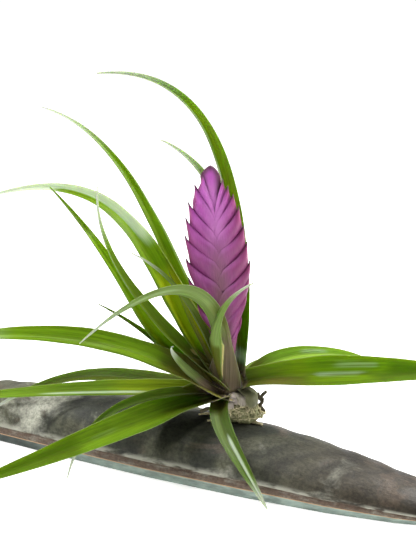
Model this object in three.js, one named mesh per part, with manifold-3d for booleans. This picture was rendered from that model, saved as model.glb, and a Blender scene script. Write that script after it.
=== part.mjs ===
// Pink quill plant (a tank-less air plant with one flat flower head) seated bare-rooted
// on the crest of a dried palm spathe.
// Millimetres, +Z up. The spathe's length lies along X and its two rims stand on z = 0.
// The finished group is moved so that its bounding box is centred over the origin.
import * as THREE from 'three';
import { ConvexGeometry } from 'three/addons/geometries/ConvexGeometry.js';
import { mergeVertices } from 'three/addons/utils/BufferGeometryUtils.js';
import Module from 'manifold-3d';

const wasm = await Module();
wasm.setup();

// ---- driving dimensions -------------------------------------------------------------

const GAP = 0.3;                       // clearance between neighbouring pieces

// Spathe: half width and crest height at stations along X.
const SPATHE_STATIONS = [
  { x: -296, half: 4, high: 4 },
  { x: -276, half: 14, high: 17 },
  { x: -250, half: 22, high: 28 },
  { x: -212, half: 29, high: 38.5 },
  { x: -130, half: 35, high: 44.5 },
  { x: -50, half: 39, high: 45 },
  { x: 30, half: 39, high: 40.5 },
  { x: 90, half: 35, high: 31 },
  { x: 140, half: 27, high: 22 },
  { x: 180, half: 15, high: 12 },
  { x: 206, half: 4, high: 4 },
];
const SPATHE_WALL = 3;
const SPATHE_ENDS = { closed: 6, open: 26 };   // crest heights between which the hollow opens
const SPATHE_LIP = { band: 7, low: 8.5, mid: 11, top: 13.5, bulge: 1.6, recess: 3, full: 40 };
const SPATHE_ALONG = 26;               // segments along the length
const SPATHE_ARCH = 8;                 // segments over the crest, between the two lips

// Rosette: where the leaves meet, and how far the plant leans.
const ROSETTE = new THREE.Vector3(0, 10, 60);
const LEAN_HEADING = 207;              // degrees about Z, the side that the plant leans to
const LEAN_STEM = 5;                   // degrees from plumb
const LEAN_HEAD = 7;

const STEM = { bottom: -7, rootR: 5.4, top: 35.7, topR: 2.6, sides: 10 };
// Stubs of old leaf bases on the foot of the stem.
const STUBS = [
  { turn: 322, foot: -6, length: 8, width: 9 },
  { turn: 352, foot: -5, length: 7, width: 8 },
  { turn: 30, foot: -6, length: 8, width: 9 },
];

// Root clump under the rosette.
const CLUMP = {
  x: 3, y: 11, middle: 46, top: 57.5, length: 33, depth: 28, height: 12, sides: 12, rings: 8,
};
// Roots that creep over the spathe: heading, length and how far the heading swings.
const CREEPING_ROOTS = [
  { turn: 190, length: 30, bend: 20 },
  { turn: 255, length: 26, bend: -25 },
  { turn: 318, length: 30, bend: 30 },
  { turn: 5, length: 34, bend: -20 },
  { turn: 60, length: 27, bend: 25 },
  { turn: 120, length: 28, bend: -20 },
];
// Wiry roots that stand off the clump, point by point.
const WIRY_ROOTS = [
  [[14, 14, 48], [20, 16, 51], [19, 17, 56], [22, 18, 60], [25, 19, 62]],
  [[12, 20, 48], [16, 27, 50], [23, 30, 47], [29, 28, 50]],
];

// Flower head: a flat sword of two-ranked keeled bracts.
const HEAD = {
  foot: 36,                            // height of its lowest point over the rosette
  length: 141,
  thick: 4.6,                          // half thickness at the middle
  facing: 297,                         // degrees about Z, the way that one flat side looks
};
// Tip of each bract: height along the head, and reach to its own side of the midline.
const BRACT_TIPS = [
  { up: 19, out: 13 }, { up: 27, out: 12 }, { up: 36, out: 20 }, { up: 44, out: 17 },
  { up: 52, out: 24 }, { up: 60, out: 20 }, { up: 68, out: 24.5 }, { up: 76, out: 21 },
  { up: 84, out: 23 }, { up: 91, out: 20.5 }, { up: 98, out: 20.5 }, { up: 104, out: 18.5 },
  { up: 110, out: 17.5 }, { up: 116, out: 15.5 }, { up: 122, out: 14.5 }, { up: 128, out: 11 },
  { up: 134, out: 10 },
];

// Leaves: root, then three handles of the midrib's curve, each [heading, reach, height] about the
// rosette's axis. Width is the widest part. Roll turns the blade about its midrib, in degrees.
// The larger taper is, the longer a blade stays broad.
const LEAVES = {
  leaf_crest: {
    root: [97, 7, 14], via: [[62, 25, 129], [84, 38, 246], [181, 91, 235]],
    width: 15, roll: 0, taper: 0.95,
  },
  leaf_behind_head: {
    root: [136, 7, 13], via: [[112, 17, 64], [70, 34, 158], [168, 51, 187]],
    width: 11, roll: 0, taper: 1.5,
  },
  leaf_back_high: {
    root: [112, 8, 12], via: [[110, 27, 60], [119, 58, 105], [119, 115, 92]],
    width: 15, roll: 15, taper: 1.1,
  },
  leaf_back_left: {
    root: [147, 8, 11], via: [[140, 24, 45], [139, 56, 90], [133, 100, 92]],
    width: 13, roll: -10, taper: 1.1,
  },
  leaf_upper_left: {
    root: [167, 9, 10], via: [[191, 43, 70], [179, 54, 189], [187, 134, 209]],
    width: 17, roll: -15, taper: 0.85,
  },
  leaf_arched_left: {
    root: [197, 10, 8], via: [[201, 60, 75], [194, 45, 186], [197, 180, 143]],
    width: 27, roll: -40, taper: 0.85,
  },
  leaf_front_arch: {
    root: [262, 12, 4.5], via: [[322, 17, 94], [260, 55, 117], [245, 130, 66]],
    width: 16, roll: 0, taper: 1.1,
  },
  leaf_pale_short: {
    root: [222, 9, 8], via: [[234, 20, 48], [233, 33, 94], [216, 68, 112]],
    width: 11, roll: -40, taper: 1,
  },
  leaf_front_hook: {
    root: [250, 11, 6], via: [[256, 26, 38], [262, 32, 76], [334, 33, 94]],
    width: 15, roll: 0, taper: 0.5,
  },
  leaf_slender_left: {
    root: [216, 11, 6], via: [[215, 71, 37], [222, 64, 90], [214, 120, 161]],
    width: 19, roll: -45, taper: 1,
  },
  leaf_slender_front: {
    root: [228, 11, 6], via: [[225, 53, 55], [222, 99, 107], [227, 89, 165]],
    width: 17, roll: -40, taper: 1.05,
  },
  leaf_curled_tip: {
    root: [243, 14, 3], via: [[246, 42, 15], [248, 69, 48], [253, 58, 53]],
    width: 9.5, roll: -70, taper: 0.7,
  },
  leaf_right_arched: {
    root: [49, 7, 3], via: [[56, 29, 34], [43, 82, 28], [40, 116, 2]],
    width: 15.5, roll: 35, taper: 1.1,
  },
  leaf_dark_short: {
    root: [215, 10, 4.5], via: [[216, 40, 21], [216, 56, 52], [216, 95, 76]],
    width: 10, roll: -35, taper: 1,
  },
  leaf_left_broad: {
    root: [228, 13, 4], via: [[240, 32, 5], [236, 69, 75], [222, 215, 63]],
    width: 18.5, roll: -50, taper: 1.25,
  },
  leaf_back_low: {
    root: [75, 8, 4], via: [[77, 34, 21], [71, 71, 18], [70, 108, -6]],
    width: 14, roll: 0, taper: 1.1,
  },
  leaf_left_drooping: {
    root: [198, 11, 2.5], via: [[193, 65, -6], [192, 110, 31], [191, 212, -40]],
    width: 16, roll: -30, taper: 1.2,
  },
  leaf_right_broad: {
    root: [17, 7.5, 9], via: [[8, 20, 17], [18, 104, 26], [18, 200, 26]],
    width: 25, roll: 45, taper: 1.35,
  },
  leaf_left_level: {
    root: [213, 12, 1.5], via: [[217, 71, 12], [215, 152, 11], [215, 235, 5]],
    width: 18, roll: -25, taper: 1.3,
  },
  leaf_lower_narrow: {
    root: [231, 10, 0.5], via: [[229, 54, 16], [229, 113, 20], [228.5, 136, -46]],
    width: 10, roll: -30, taper: 1.1,
  },
  leaf_lower_broad: {
    root: [243, 13, 0], via: [[235, 76, -1], [239, 135, -17], [237, 228, -27]],
    width: 27, roll: -40, taper: 1.6,
  },
  leaf_front_hanging: {
    root: [258, 12, 1], via: [[262, 36, -6], [290, 62, -13], [308, 82, -56]],
    width: 14, roll: 0, taper: 1.6,
  },
};
const LEAF = {
  rootWidth: 0.6,                      // of the widest part
  fullAt: 0.22,                        // of the length, where the blade reaches full width
  tipWidth: 1.0,
  rib: 1.3,                            // thickness on the midrib
  edge: 0.8,
  rootChannel: 0.34,                   // depth of the channel, of the width
  bladeChannel: 0.2,
  rolledAt: 0.45,                      // of the length, where the blade has taken its full roll
  along: 16,
};

const COLOURS = {
  leaf: { color: 0x5f8f1c, roughness: 0.42, metalness: 0 },
  bract: { color: 0xa8479a, roughness: 0.5, metalness: 0 },
  stem: { color: 0x7c6a5e, roughness: 0.7, metalness: 0 },
  roots: { color: 0xa69b72, roughness: 0.9, metalness: 0 },
  spathe: { color: 0x5f605a, roughness: 0.75, metalness: 0 },
};

// ---- shared helpers -----------------------------------------------------------------

const rad = THREE.MathUtils.degToRad;
const mix = THREE.MathUtils.lerp;
const ease = THREE.MathUtils.smoothstep;

function heading(degrees) {
  return new THREE.Vector3(Math.cos(rad(degrees)), Math.sin(rad(degrees)), 0);
}

// A point on the leaning axis through the rosette, at a height over it.
function onAxis(height, lean) {
  const drift = Math.tan(rad(lean)) * height;
  return heading(LEAN_HEADING).multiplyScalar(drift).add(ROSETTE).add(new THREE.Vector3(0, 0, height));
}

function onlyPositions(geometry) {
  const bare = geometry.clone();
  for (const name of Object.keys(bare.attributes)) {
    if (name !== 'position') bare.deleteAttribute(name);
  }
  return mergeVertices(bare, 1e-4);
}

function toSolid(geometry) {
  const bare = onlyPositions(geometry);
  return new wasm.Manifold(new wasm.Mesh({
    numProp: 3,
    vertProperties: new Float32Array(bare.attributes.position.array),
    triVerts: new Uint32Array(bare.index.array),
  }));
}

function toGeometry(solid) {
  const mesh = solid.getMesh();
  const geometry = new THREE.BufferGeometry();
  geometry.setAttribute('position', new THREE.BufferAttribute(new Float32Array(mesh.vertProperties), 3));
  geometry.setIndex(new THREE.BufferAttribute(new Uint32Array(mesh.triVerts), 1));
  return geometry;
}

// The body of a solid that holds the most material; loose scraps of a cut are dropped.
function largestBody(solid) {
  const bodies = solid.decompose();
  return bodies.reduce((best, body) => (body.volume() > best.volume() ? body : best));
}

// A block of across x 1 x along cells, bent by a rule (u, w, t) -> Vector3,
// where u runs across, w through its thickness and t along, each from 0 to 1.
function bentBlock(across, along, rule) {
  const block = onlyPositions(new THREE.BoxGeometry(1, 1, 1, across, 1, along));
  const place = block.attributes.position;
  for (let i = 0; i < place.count; i += 1) {
    const point = rule(place.getX(i) + 0.5, place.getY(i) + 0.5, place.getZ(i) + 0.5);
    place.setXYZ(i, point.x, point.y, point.z);
  }
  return block;
}

// A tube of a few sides along a curve, thinner towards its far end.
function taperedTube(points, radius, tip, sides, along) {
  const path = new THREE.CatmullRomCurve3(points);
  const frames = path.computeFrenetFrames(along, false);
  const tube = onlyPositions(new THREE.CylinderGeometry(1, 1, 1, sides, along));
  const place = tube.attributes.position;
  for (let i = 0; i < place.count; i += 1) {
    const t = place.getY(i) + 0.5;
    const station = Math.round(t * along);
    const size = mix(radius, tip, t);
    const centre = path.getPointAt(t);
    centre.addScaledVector(frames.normals[station], place.getX(i) * size);
    centre.addScaledVector(frames.binormals[station], -place.getZ(i) * size);
    place.setXYZ(i, centre.x, centre.y, centre.z);
  }
  return tube;
}

function sameHanded(geometry) {
  const solid = toSolid(geometry);
  return solid.volume() > 0 ? geometry : flipped(geometry);
}

function flipped(geometry) {
  const index = geometry.index.array;
  for (let i = 0; i < index.length; i += 3) {
    [index[i + 1], index[i + 2]] = [index[i + 2], index[i + 1]];
  }
  return geometry;
}

const group = new THREE.Group();

function addPiece(name, geometry, look) {
  const shaded = geometry.clone();
  shaded.computeVertexNormals();
  const mesh = new THREE.Mesh(shaded, new THREE.MeshStandardMaterial(look));
  mesh.name = name;
  group.add(mesh);
}

// ---- spathe -------------------------------------------------------------------------

function spatheSize(x, grow = 0) {
  const last = SPATHE_STATIONS.length - 1;
  let i = 0;
  while (i < last - 1 && x > SPATHE_STATIONS[i + 1].x) i += 1;
  const a = SPATHE_STATIONS[i];
  const b = SPATHE_STATIONS[i + 1];
  const t = (x - a.x) / (b.x - a.x);
  return { half: mix(a.half, b.half, t) + grow, high: mix(a.high, b.high, t) + grow };
}

// Half section of the outer face, from the foot of the rim to the crest.
function spatheSection(size) {
  const k = Math.min(1, size.high / SPATHE_LIP.full);
  const { band, low, mid, top, bulge, recess } = SPATHE_LIP;
  const points = [
    [size.half - (recess + 1) * k, 0],
    [size.half - recess * k, band * k],
    [size.half, low * k],
    [size.half + bulge * k * 0.5, mid * k],
    [size.half - 0.4 * k, top * k],
  ];
  const arch = SPATHE_ARCH / 2;
  for (let i = 1; i <= arch; i += 1) {
    const angle = (Math.PI / 2) * (i / arch);
    points.push([
      (size.half - 1.2 * k) * Math.cos(angle),
      mix(top * k, size.high, Math.sin(angle) ** 0.95),
    ]);
  }
  return points;
}

// Half section of the hollow below, a plain half ellipse that flattens out at both ends.
function hollowSection(size, cells) {
  const k = Math.min(1, size.high / SPATHE_LIP.full);
  const half = (size.half - (SPATHE_LIP.recess + 1) * k) - Math.min(SPATHE_WALL, size.half * 0.4);
  const high = (size.high - SPATHE_WALL) * ease(size.high, SPATHE_ENDS.closed, SPATHE_ENDS.open);
  const points = [];
  for (let i = 0; i <= cells; i += 1) {
    const angle = (Math.PI / 2) * (i / cells);
    points.push([half * Math.cos(angle), Math.max(0, high) * Math.sin(angle)]);
  }
  return points;
}

function spatheGeometry(grow = 0) {
  const cells = spatheSection(SPATHE_STATIONS[0]).length - 1;
  const first = SPATHE_STATIONS[0].x - grow;
  const last = SPATHE_STATIONS[SPATHE_STATIONS.length - 1].x + grow;
  return bentBlock(2 * cells, SPATHE_ALONG, (u, w, t) => {
    const x = mix(first, last, mix(t, 0.5 - 0.5 * Math.cos(Math.PI * t), 0.35));
    const size = spatheSize(x, grow);
    const section = w > 0.5 ? spatheSection(size) : hollowSection(size, cells);
    const cell = Math.round(2 * u * cells);
    const [y, z] = section[cell < cells ? cell : 2 * cells - cell];
    return new THREE.Vector3(x, cell < cells ? -y : y, z);
  });
}

// ---- stem and root clump ------------------------------------------------------------

function stemGeometry(grow) {
  const profile = [
    new THREE.Vector2(0, STEM.bottom - grow),
    new THREE.Vector2(STEM.rootR * 0.8 + grow, STEM.bottom - grow),
    new THREE.Vector2(STEM.rootR + grow, 4),
    new THREE.Vector2(STEM.rootR * 0.85 + grow, 15),
    new THREE.Vector2(STEM.topR + grow, 24),
    new THREE.Vector2(STEM.topR + grow, STEM.top + grow),
    new THREE.Vector2(0, STEM.top + grow),
  ];
  const stem = onlyPositions(new THREE.LatheGeometry(profile, STEM.sides));
  const place = stem.attributes.position;
  for (let i = 0; i < place.count; i += 1) {
    const foot = onAxis(place.getY(i), LEAN_STEM);
    place.setXYZ(i, foot.x + place.getX(i), foot.y - place.getZ(i), foot.z);
  }
  return sameHanded(stem);
}

// A stub of an old leaf base: a short scale that flares from the stem.
function sheathStub({ turn, foot, length, width }, grow) {
  const out = heading(turn);
  const side = heading(turn + 90);
  const corners = [
    [0, 0, 0], [0, 1, 0], [-0.5, 0, 0.6], [0.5, 0, 0.6], [-0.3, 1, 0.8], [0.3, 1, 0.8],
    [0, 0, 1.1], [0, 1, 1.5],
  ];
  return new ConvexGeometry(corners.map(([across, up, reach]) => (
    onAxis(mix(foot - grow, foot + length + grow, up), LEAN_STEM)
      .addScaledVector(out, reach * STEM.rootR + grow * Math.sign(reach))
      .addScaledVector(side, across * (width + 3 * grow)))));
}

function stemSolid(grow = 0) {
  const stubs = STUBS.map((stub) => toSolid(sheathStub(stub, grow)));
  return stubs.reduce((sum, stub) => sum.add(stub), toSolid(stemGeometry(grow)));
}

// Height of the spathe's outer face over a point of the floor.
function spatheTop(x, y) {
  const section = spatheSection(spatheSize(x));
  const reach = Math.abs(y);
  for (let i = section.length - 1; i > 4; i -= 1) {
    const [innerY, innerZ] = section[i];
    const [outerY, outerZ] = section[i - 1];
    if (reach <= outerY) return mix(innerZ, outerZ, (reach - innerY) / (outerY - innerY));
  }
  return section[4][1];
}

function clumpCore() {
  const core = onlyPositions(new THREE.SphereGeometry(1, CLUMP.sides, CLUMP.rings));
  const place = core.attributes.position;
  for (let i = 0; i < place.count; i += 1) {
    const [x, y, z] = [place.getX(i), place.getZ(i), place.getY(i)];
    const bump = 1 + 0.1 * Math.sin(5 * x + 2) * Math.cos(6 * y) + 0.07 * Math.sin(9 * z + 4 * x);
    place.setXYZ(
      i,
      CLUMP.x + (CLUMP.length / 2) * x * bump,
      CLUMP.y - (CLUMP.depth / 2) * y * bump,
      Math.min(CLUMP.top, CLUMP.middle + CLUMP.height * z * bump),
    );
  }
  return sameHanded(core);
}

// A root that leaves the clump and creeps over the spathe.
function creepingRoot({ turn, length, bend }) {
  const points = [];
  for (let i = 0; i <= 5; i += 1) {
    const t = i / 5;
    const way = heading(turn + bend * t);
    const x = CLUMP.x + way.x * length * t;
    const y = CLUMP.y + way.y * length * t;
    const lift = mix(6, 0.9, ease(t, 0, 0.6)) + 0.8 * Math.sin(7 * t + turn);
    points.push(new THREE.Vector3(x, y, spatheTop(x, y) + lift));
  }
  return taperedTube(points, 1.6, 0.9, 5, 10);
}

function clumpSolid(stem) {
  const wires = WIRY_ROOTS.map((points) => taperedTube(
    points.map(([x, y, z]) => new THREE.Vector3(x, y, z)), 1.2, 0.8, 5, 10,
  ));
  const pieces = [...CREEPING_ROOTS.map(creepingRoot), ...wires];
  const joined = pieces.reduce((sum, piece) => sum.add(toSolid(sameHanded(piece))), toSolid(clumpCore()));
  return largestBody(joined.subtract(toSolid(spatheGeometry(GAP))).subtract(stem));
}

// ---- flower head --------------------------------------------------------------------

const HEAD_FOOT = onAxis(HEAD.foot, LEAN_STEM);
const HEAD_UP = onAxis(1, LEAN_HEAD).sub(ROSETTE).normalize();
const HEAD_FRONT = heading(HEAD.facing);
const HEAD_SIDE = heading(HEAD.facing + 90);

function onHead(out, up, front) {
  return HEAD_FOOT.clone()
    .addScaledVector(HEAD_UP, up)
    .addScaledVector(HEAD_SIDE, out)
    .addScaledVector(HEAD_FRONT, front);
}

// One keeled bract: the hull of its foot on the midline, its keel on the head's edge,
// its pointed tip, and its swollen face, front and back.
function bractGeometry(tip, order) {
  const side = order % 2 === 0 ? -1 : 1;
  const swell = HEAD.thick * (1 - 0.45 * (tip.up / HEAD.length) ** 2);
  const foot = Math.max(0, tip.up - 34);
  const rim = [
    [0, foot, 0.5], [0.5, Math.max(foot, tip.up - 30), 0.9], [0.85, Math.max(foot + 2, tip.up - 24), 0.22],
    [0.98, tip.up - 10, 0.2], [1.05, tip.up, 0.09], [0.66, tip.up - 0.34 * tip.out, 0.72],
    [0.2, tip.up - 0.66 * tip.out, 1.0], [-0.3, tip.up - 1.1 * tip.out, 0.85],
  ];
  const points = [];
  for (const [reach, up, fat] of rim) {
    const out = side * reach * tip.out;
    points.push(onHead(out, Math.max(up, 0), swell * fat), onHead(out, Math.max(up, 0), -swell * fat));
  }
  return new ConvexGeometry(points);
}

function headSolid() {
  const core = new ConvexGeometry([
    onHead(-2.6, 0, 2), onHead(2.6, 0, 2), onHead(-2.6, 0, -2), onHead(2.6, 0, -2),
    onHead(-9, HEAD.length - 14, 0), onHead(9, HEAD.length - 14, 0),
    onHead(-7, HEAD.length - 6, 0), onHead(7, HEAD.length - 6, 0),
    onHead(-4, HEAD.length - 2, 0), onHead(4, HEAD.length - 2, 0),
    onHead(0, HEAD.length - 5, 2), onHead(0, HEAD.length - 5, -2),
    onHead(0, HEAD.length, 0.6), onHead(0, HEAD.length, -0.6),
  ]);
  return BRACT_TIPS.reduce((sum, tip, order) => sum.add(toSolid(bractGeometry(tip, order))), toSolid(core));
}

// ---- leaves -------------------------------------------------------------------------

function midrib({ root, via }) {
  return new THREE.CubicBezierCurve3(...[root, ...via].map(([turn, reach, height]) => (
    onAxis(height, LEAN_STEM).addScaledVector(heading(turn), reach))));
}

// Stations along a midrib: its point, its side vector and the normal of its upper face.
function leafStations(leaf, count) {
  const curve = midrib(leaf);
  const side = heading(leaf.root[0] + 90);
  const stations = [];
  for (let i = 0; i <= count; i += 1) {
    const t = i / count;
    const along = curve.getTangentAt(t);
    side.addScaledVector(along, -side.dot(along)).normalize();
    const turned = side.clone().applyAxisAngle(along, rad(leaf.roll * ease(t, 0, LEAF.rolledAt)));
    stations.push({ point: curve.getPointAt(t), along, side: turned, up: along.clone().cross(turned) });
  }
  return stations;
}

function bladeWidth(leaf, t) {
  if (t < LEAF.fullAt) return leaf.width * mix(LEAF.rootWidth, 1, ease(t, 0, LEAF.fullAt));
  const s = (t - LEAF.fullAt) / (1 - LEAF.fullAt);
  return mix(leaf.width, LEAF.tipWidth, s ** leaf.taper);
}

function leafGeometry(leaf, grow = 0) {
  const stations = leafStations(leaf, LEAF.along);
  return bentBlock(2, LEAF.along, (u, w, t) => {
    const { point, along, side, up } = stations[Math.round(t * LEAF.along)];
    const width = bladeWidth(leaf, t);
    const across = 2 * u - 1;
    const channel = width * mix(LEAF.rootChannel, LEAF.bladeChannel, ease(t, 0, 0.35));
    const rib = Math.abs(across) < 0.5 ? LEAF.rib : LEAF.edge;
    const thick = mix(rib, LEAF.edge, t) + 2 * grow;
    const end = Math.round(t) === t ? (2 * t - 1) * grow : 0;
    return point.clone()
      .addScaledVector(along, end)
      .addScaledVector(side, across * (width / 2 + grow))
      .addScaledVector(up, channel * Math.abs(across) + (w - 0.5) * thick);
  });
}

// Each leaf is cut clear of the stem and of the leaves that are nested inside it.
function leafSolids(stemCutter) {
  const cutters = [stemCutter];
  const solids = {};
  for (const [name, leaf] of Object.entries(LEAVES)) {
    let solid = toSolid(leafGeometry(leaf));
    for (const cutter of cutters) {
      if (solid.intersect(cutter).volume() > 0) solid = solid.subtract(cutter);
    }
    solids[name] = largestBody(solid);
    cutters.push(toSolid(leafGeometry(leaf, GAP)));
  }
  return solids;
}

// ---- assembly -----------------------------------------------------------------------

addPiece('spathe', spatheGeometry(), COLOURS.spathe);
addPiece('stem', toGeometry(stemSolid()), COLOURS.stem);
addPiece('root_clump', toGeometry(clumpSolid(stemSolid(GAP))), COLOURS.roots);
addPiece('flower_head', toGeometry(headSolid()), COLOURS.bract);
for (const [name, solid] of Object.entries(leafSolids(stemSolid(GAP)))) {
  addPiece(name, toGeometry(solid), COLOURS.leaf);
}

const box = new THREE.Box3().setFromObject(group);
const centre = box.getCenter(new THREE.Vector3());
group.position.set(-centre.x, -centre.y, -box.min.z);

export default group;
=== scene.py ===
"""Pink quill plant seated bare-rooted on the crest of a dried palm spathe.

Lengths in the tables are millimetres about the spathe: its length lies along X, its rims stand on
z = 0, and the rosette is over x = 0. Headings are degrees about Z, from +X towards +Y.
"""

import math
import random

import bmesh
import bpy
import numpy as np
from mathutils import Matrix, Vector, noise


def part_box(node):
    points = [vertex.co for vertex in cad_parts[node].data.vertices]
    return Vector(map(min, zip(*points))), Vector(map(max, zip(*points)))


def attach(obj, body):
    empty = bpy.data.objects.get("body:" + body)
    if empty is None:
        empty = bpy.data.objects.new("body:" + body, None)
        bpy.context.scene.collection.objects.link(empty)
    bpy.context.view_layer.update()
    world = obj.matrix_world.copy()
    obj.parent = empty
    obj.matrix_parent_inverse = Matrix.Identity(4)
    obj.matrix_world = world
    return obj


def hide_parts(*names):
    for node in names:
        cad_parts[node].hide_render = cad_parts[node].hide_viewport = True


bl_info = {
    "name": "Pink Quill Plant on a Palm Spathe",
    "version": (1, 0, 0),
    "blender": (4, 5, 0),
    "location": "View3D > Sidebar > Quill Plant",
    "description": "Builds a pink quill plant, its root clump and the palm spathe that carries it",
    "category": "Add Mesh",
}

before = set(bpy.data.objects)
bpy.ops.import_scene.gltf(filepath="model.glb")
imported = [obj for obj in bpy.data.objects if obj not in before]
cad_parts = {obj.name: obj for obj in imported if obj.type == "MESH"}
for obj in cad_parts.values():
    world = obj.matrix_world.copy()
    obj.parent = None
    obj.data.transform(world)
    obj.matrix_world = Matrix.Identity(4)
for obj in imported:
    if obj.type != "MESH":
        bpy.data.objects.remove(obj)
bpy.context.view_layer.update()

BODY = "root"
MM = 0.001

# ---- the plant's tables --------------------------------------------------------------

ROSETTE = np.array([0.0, 10.0, 60.0])  # where the leaning axis passes the rosette's middle
LEAN_HEADING = 207.0  # the heading that the axis leans towards
LEAN_STEM = 5.0  # lean of the stem and the leaves, in degrees
LEAN_HEAD = 7.0  # lean of the flower head

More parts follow.
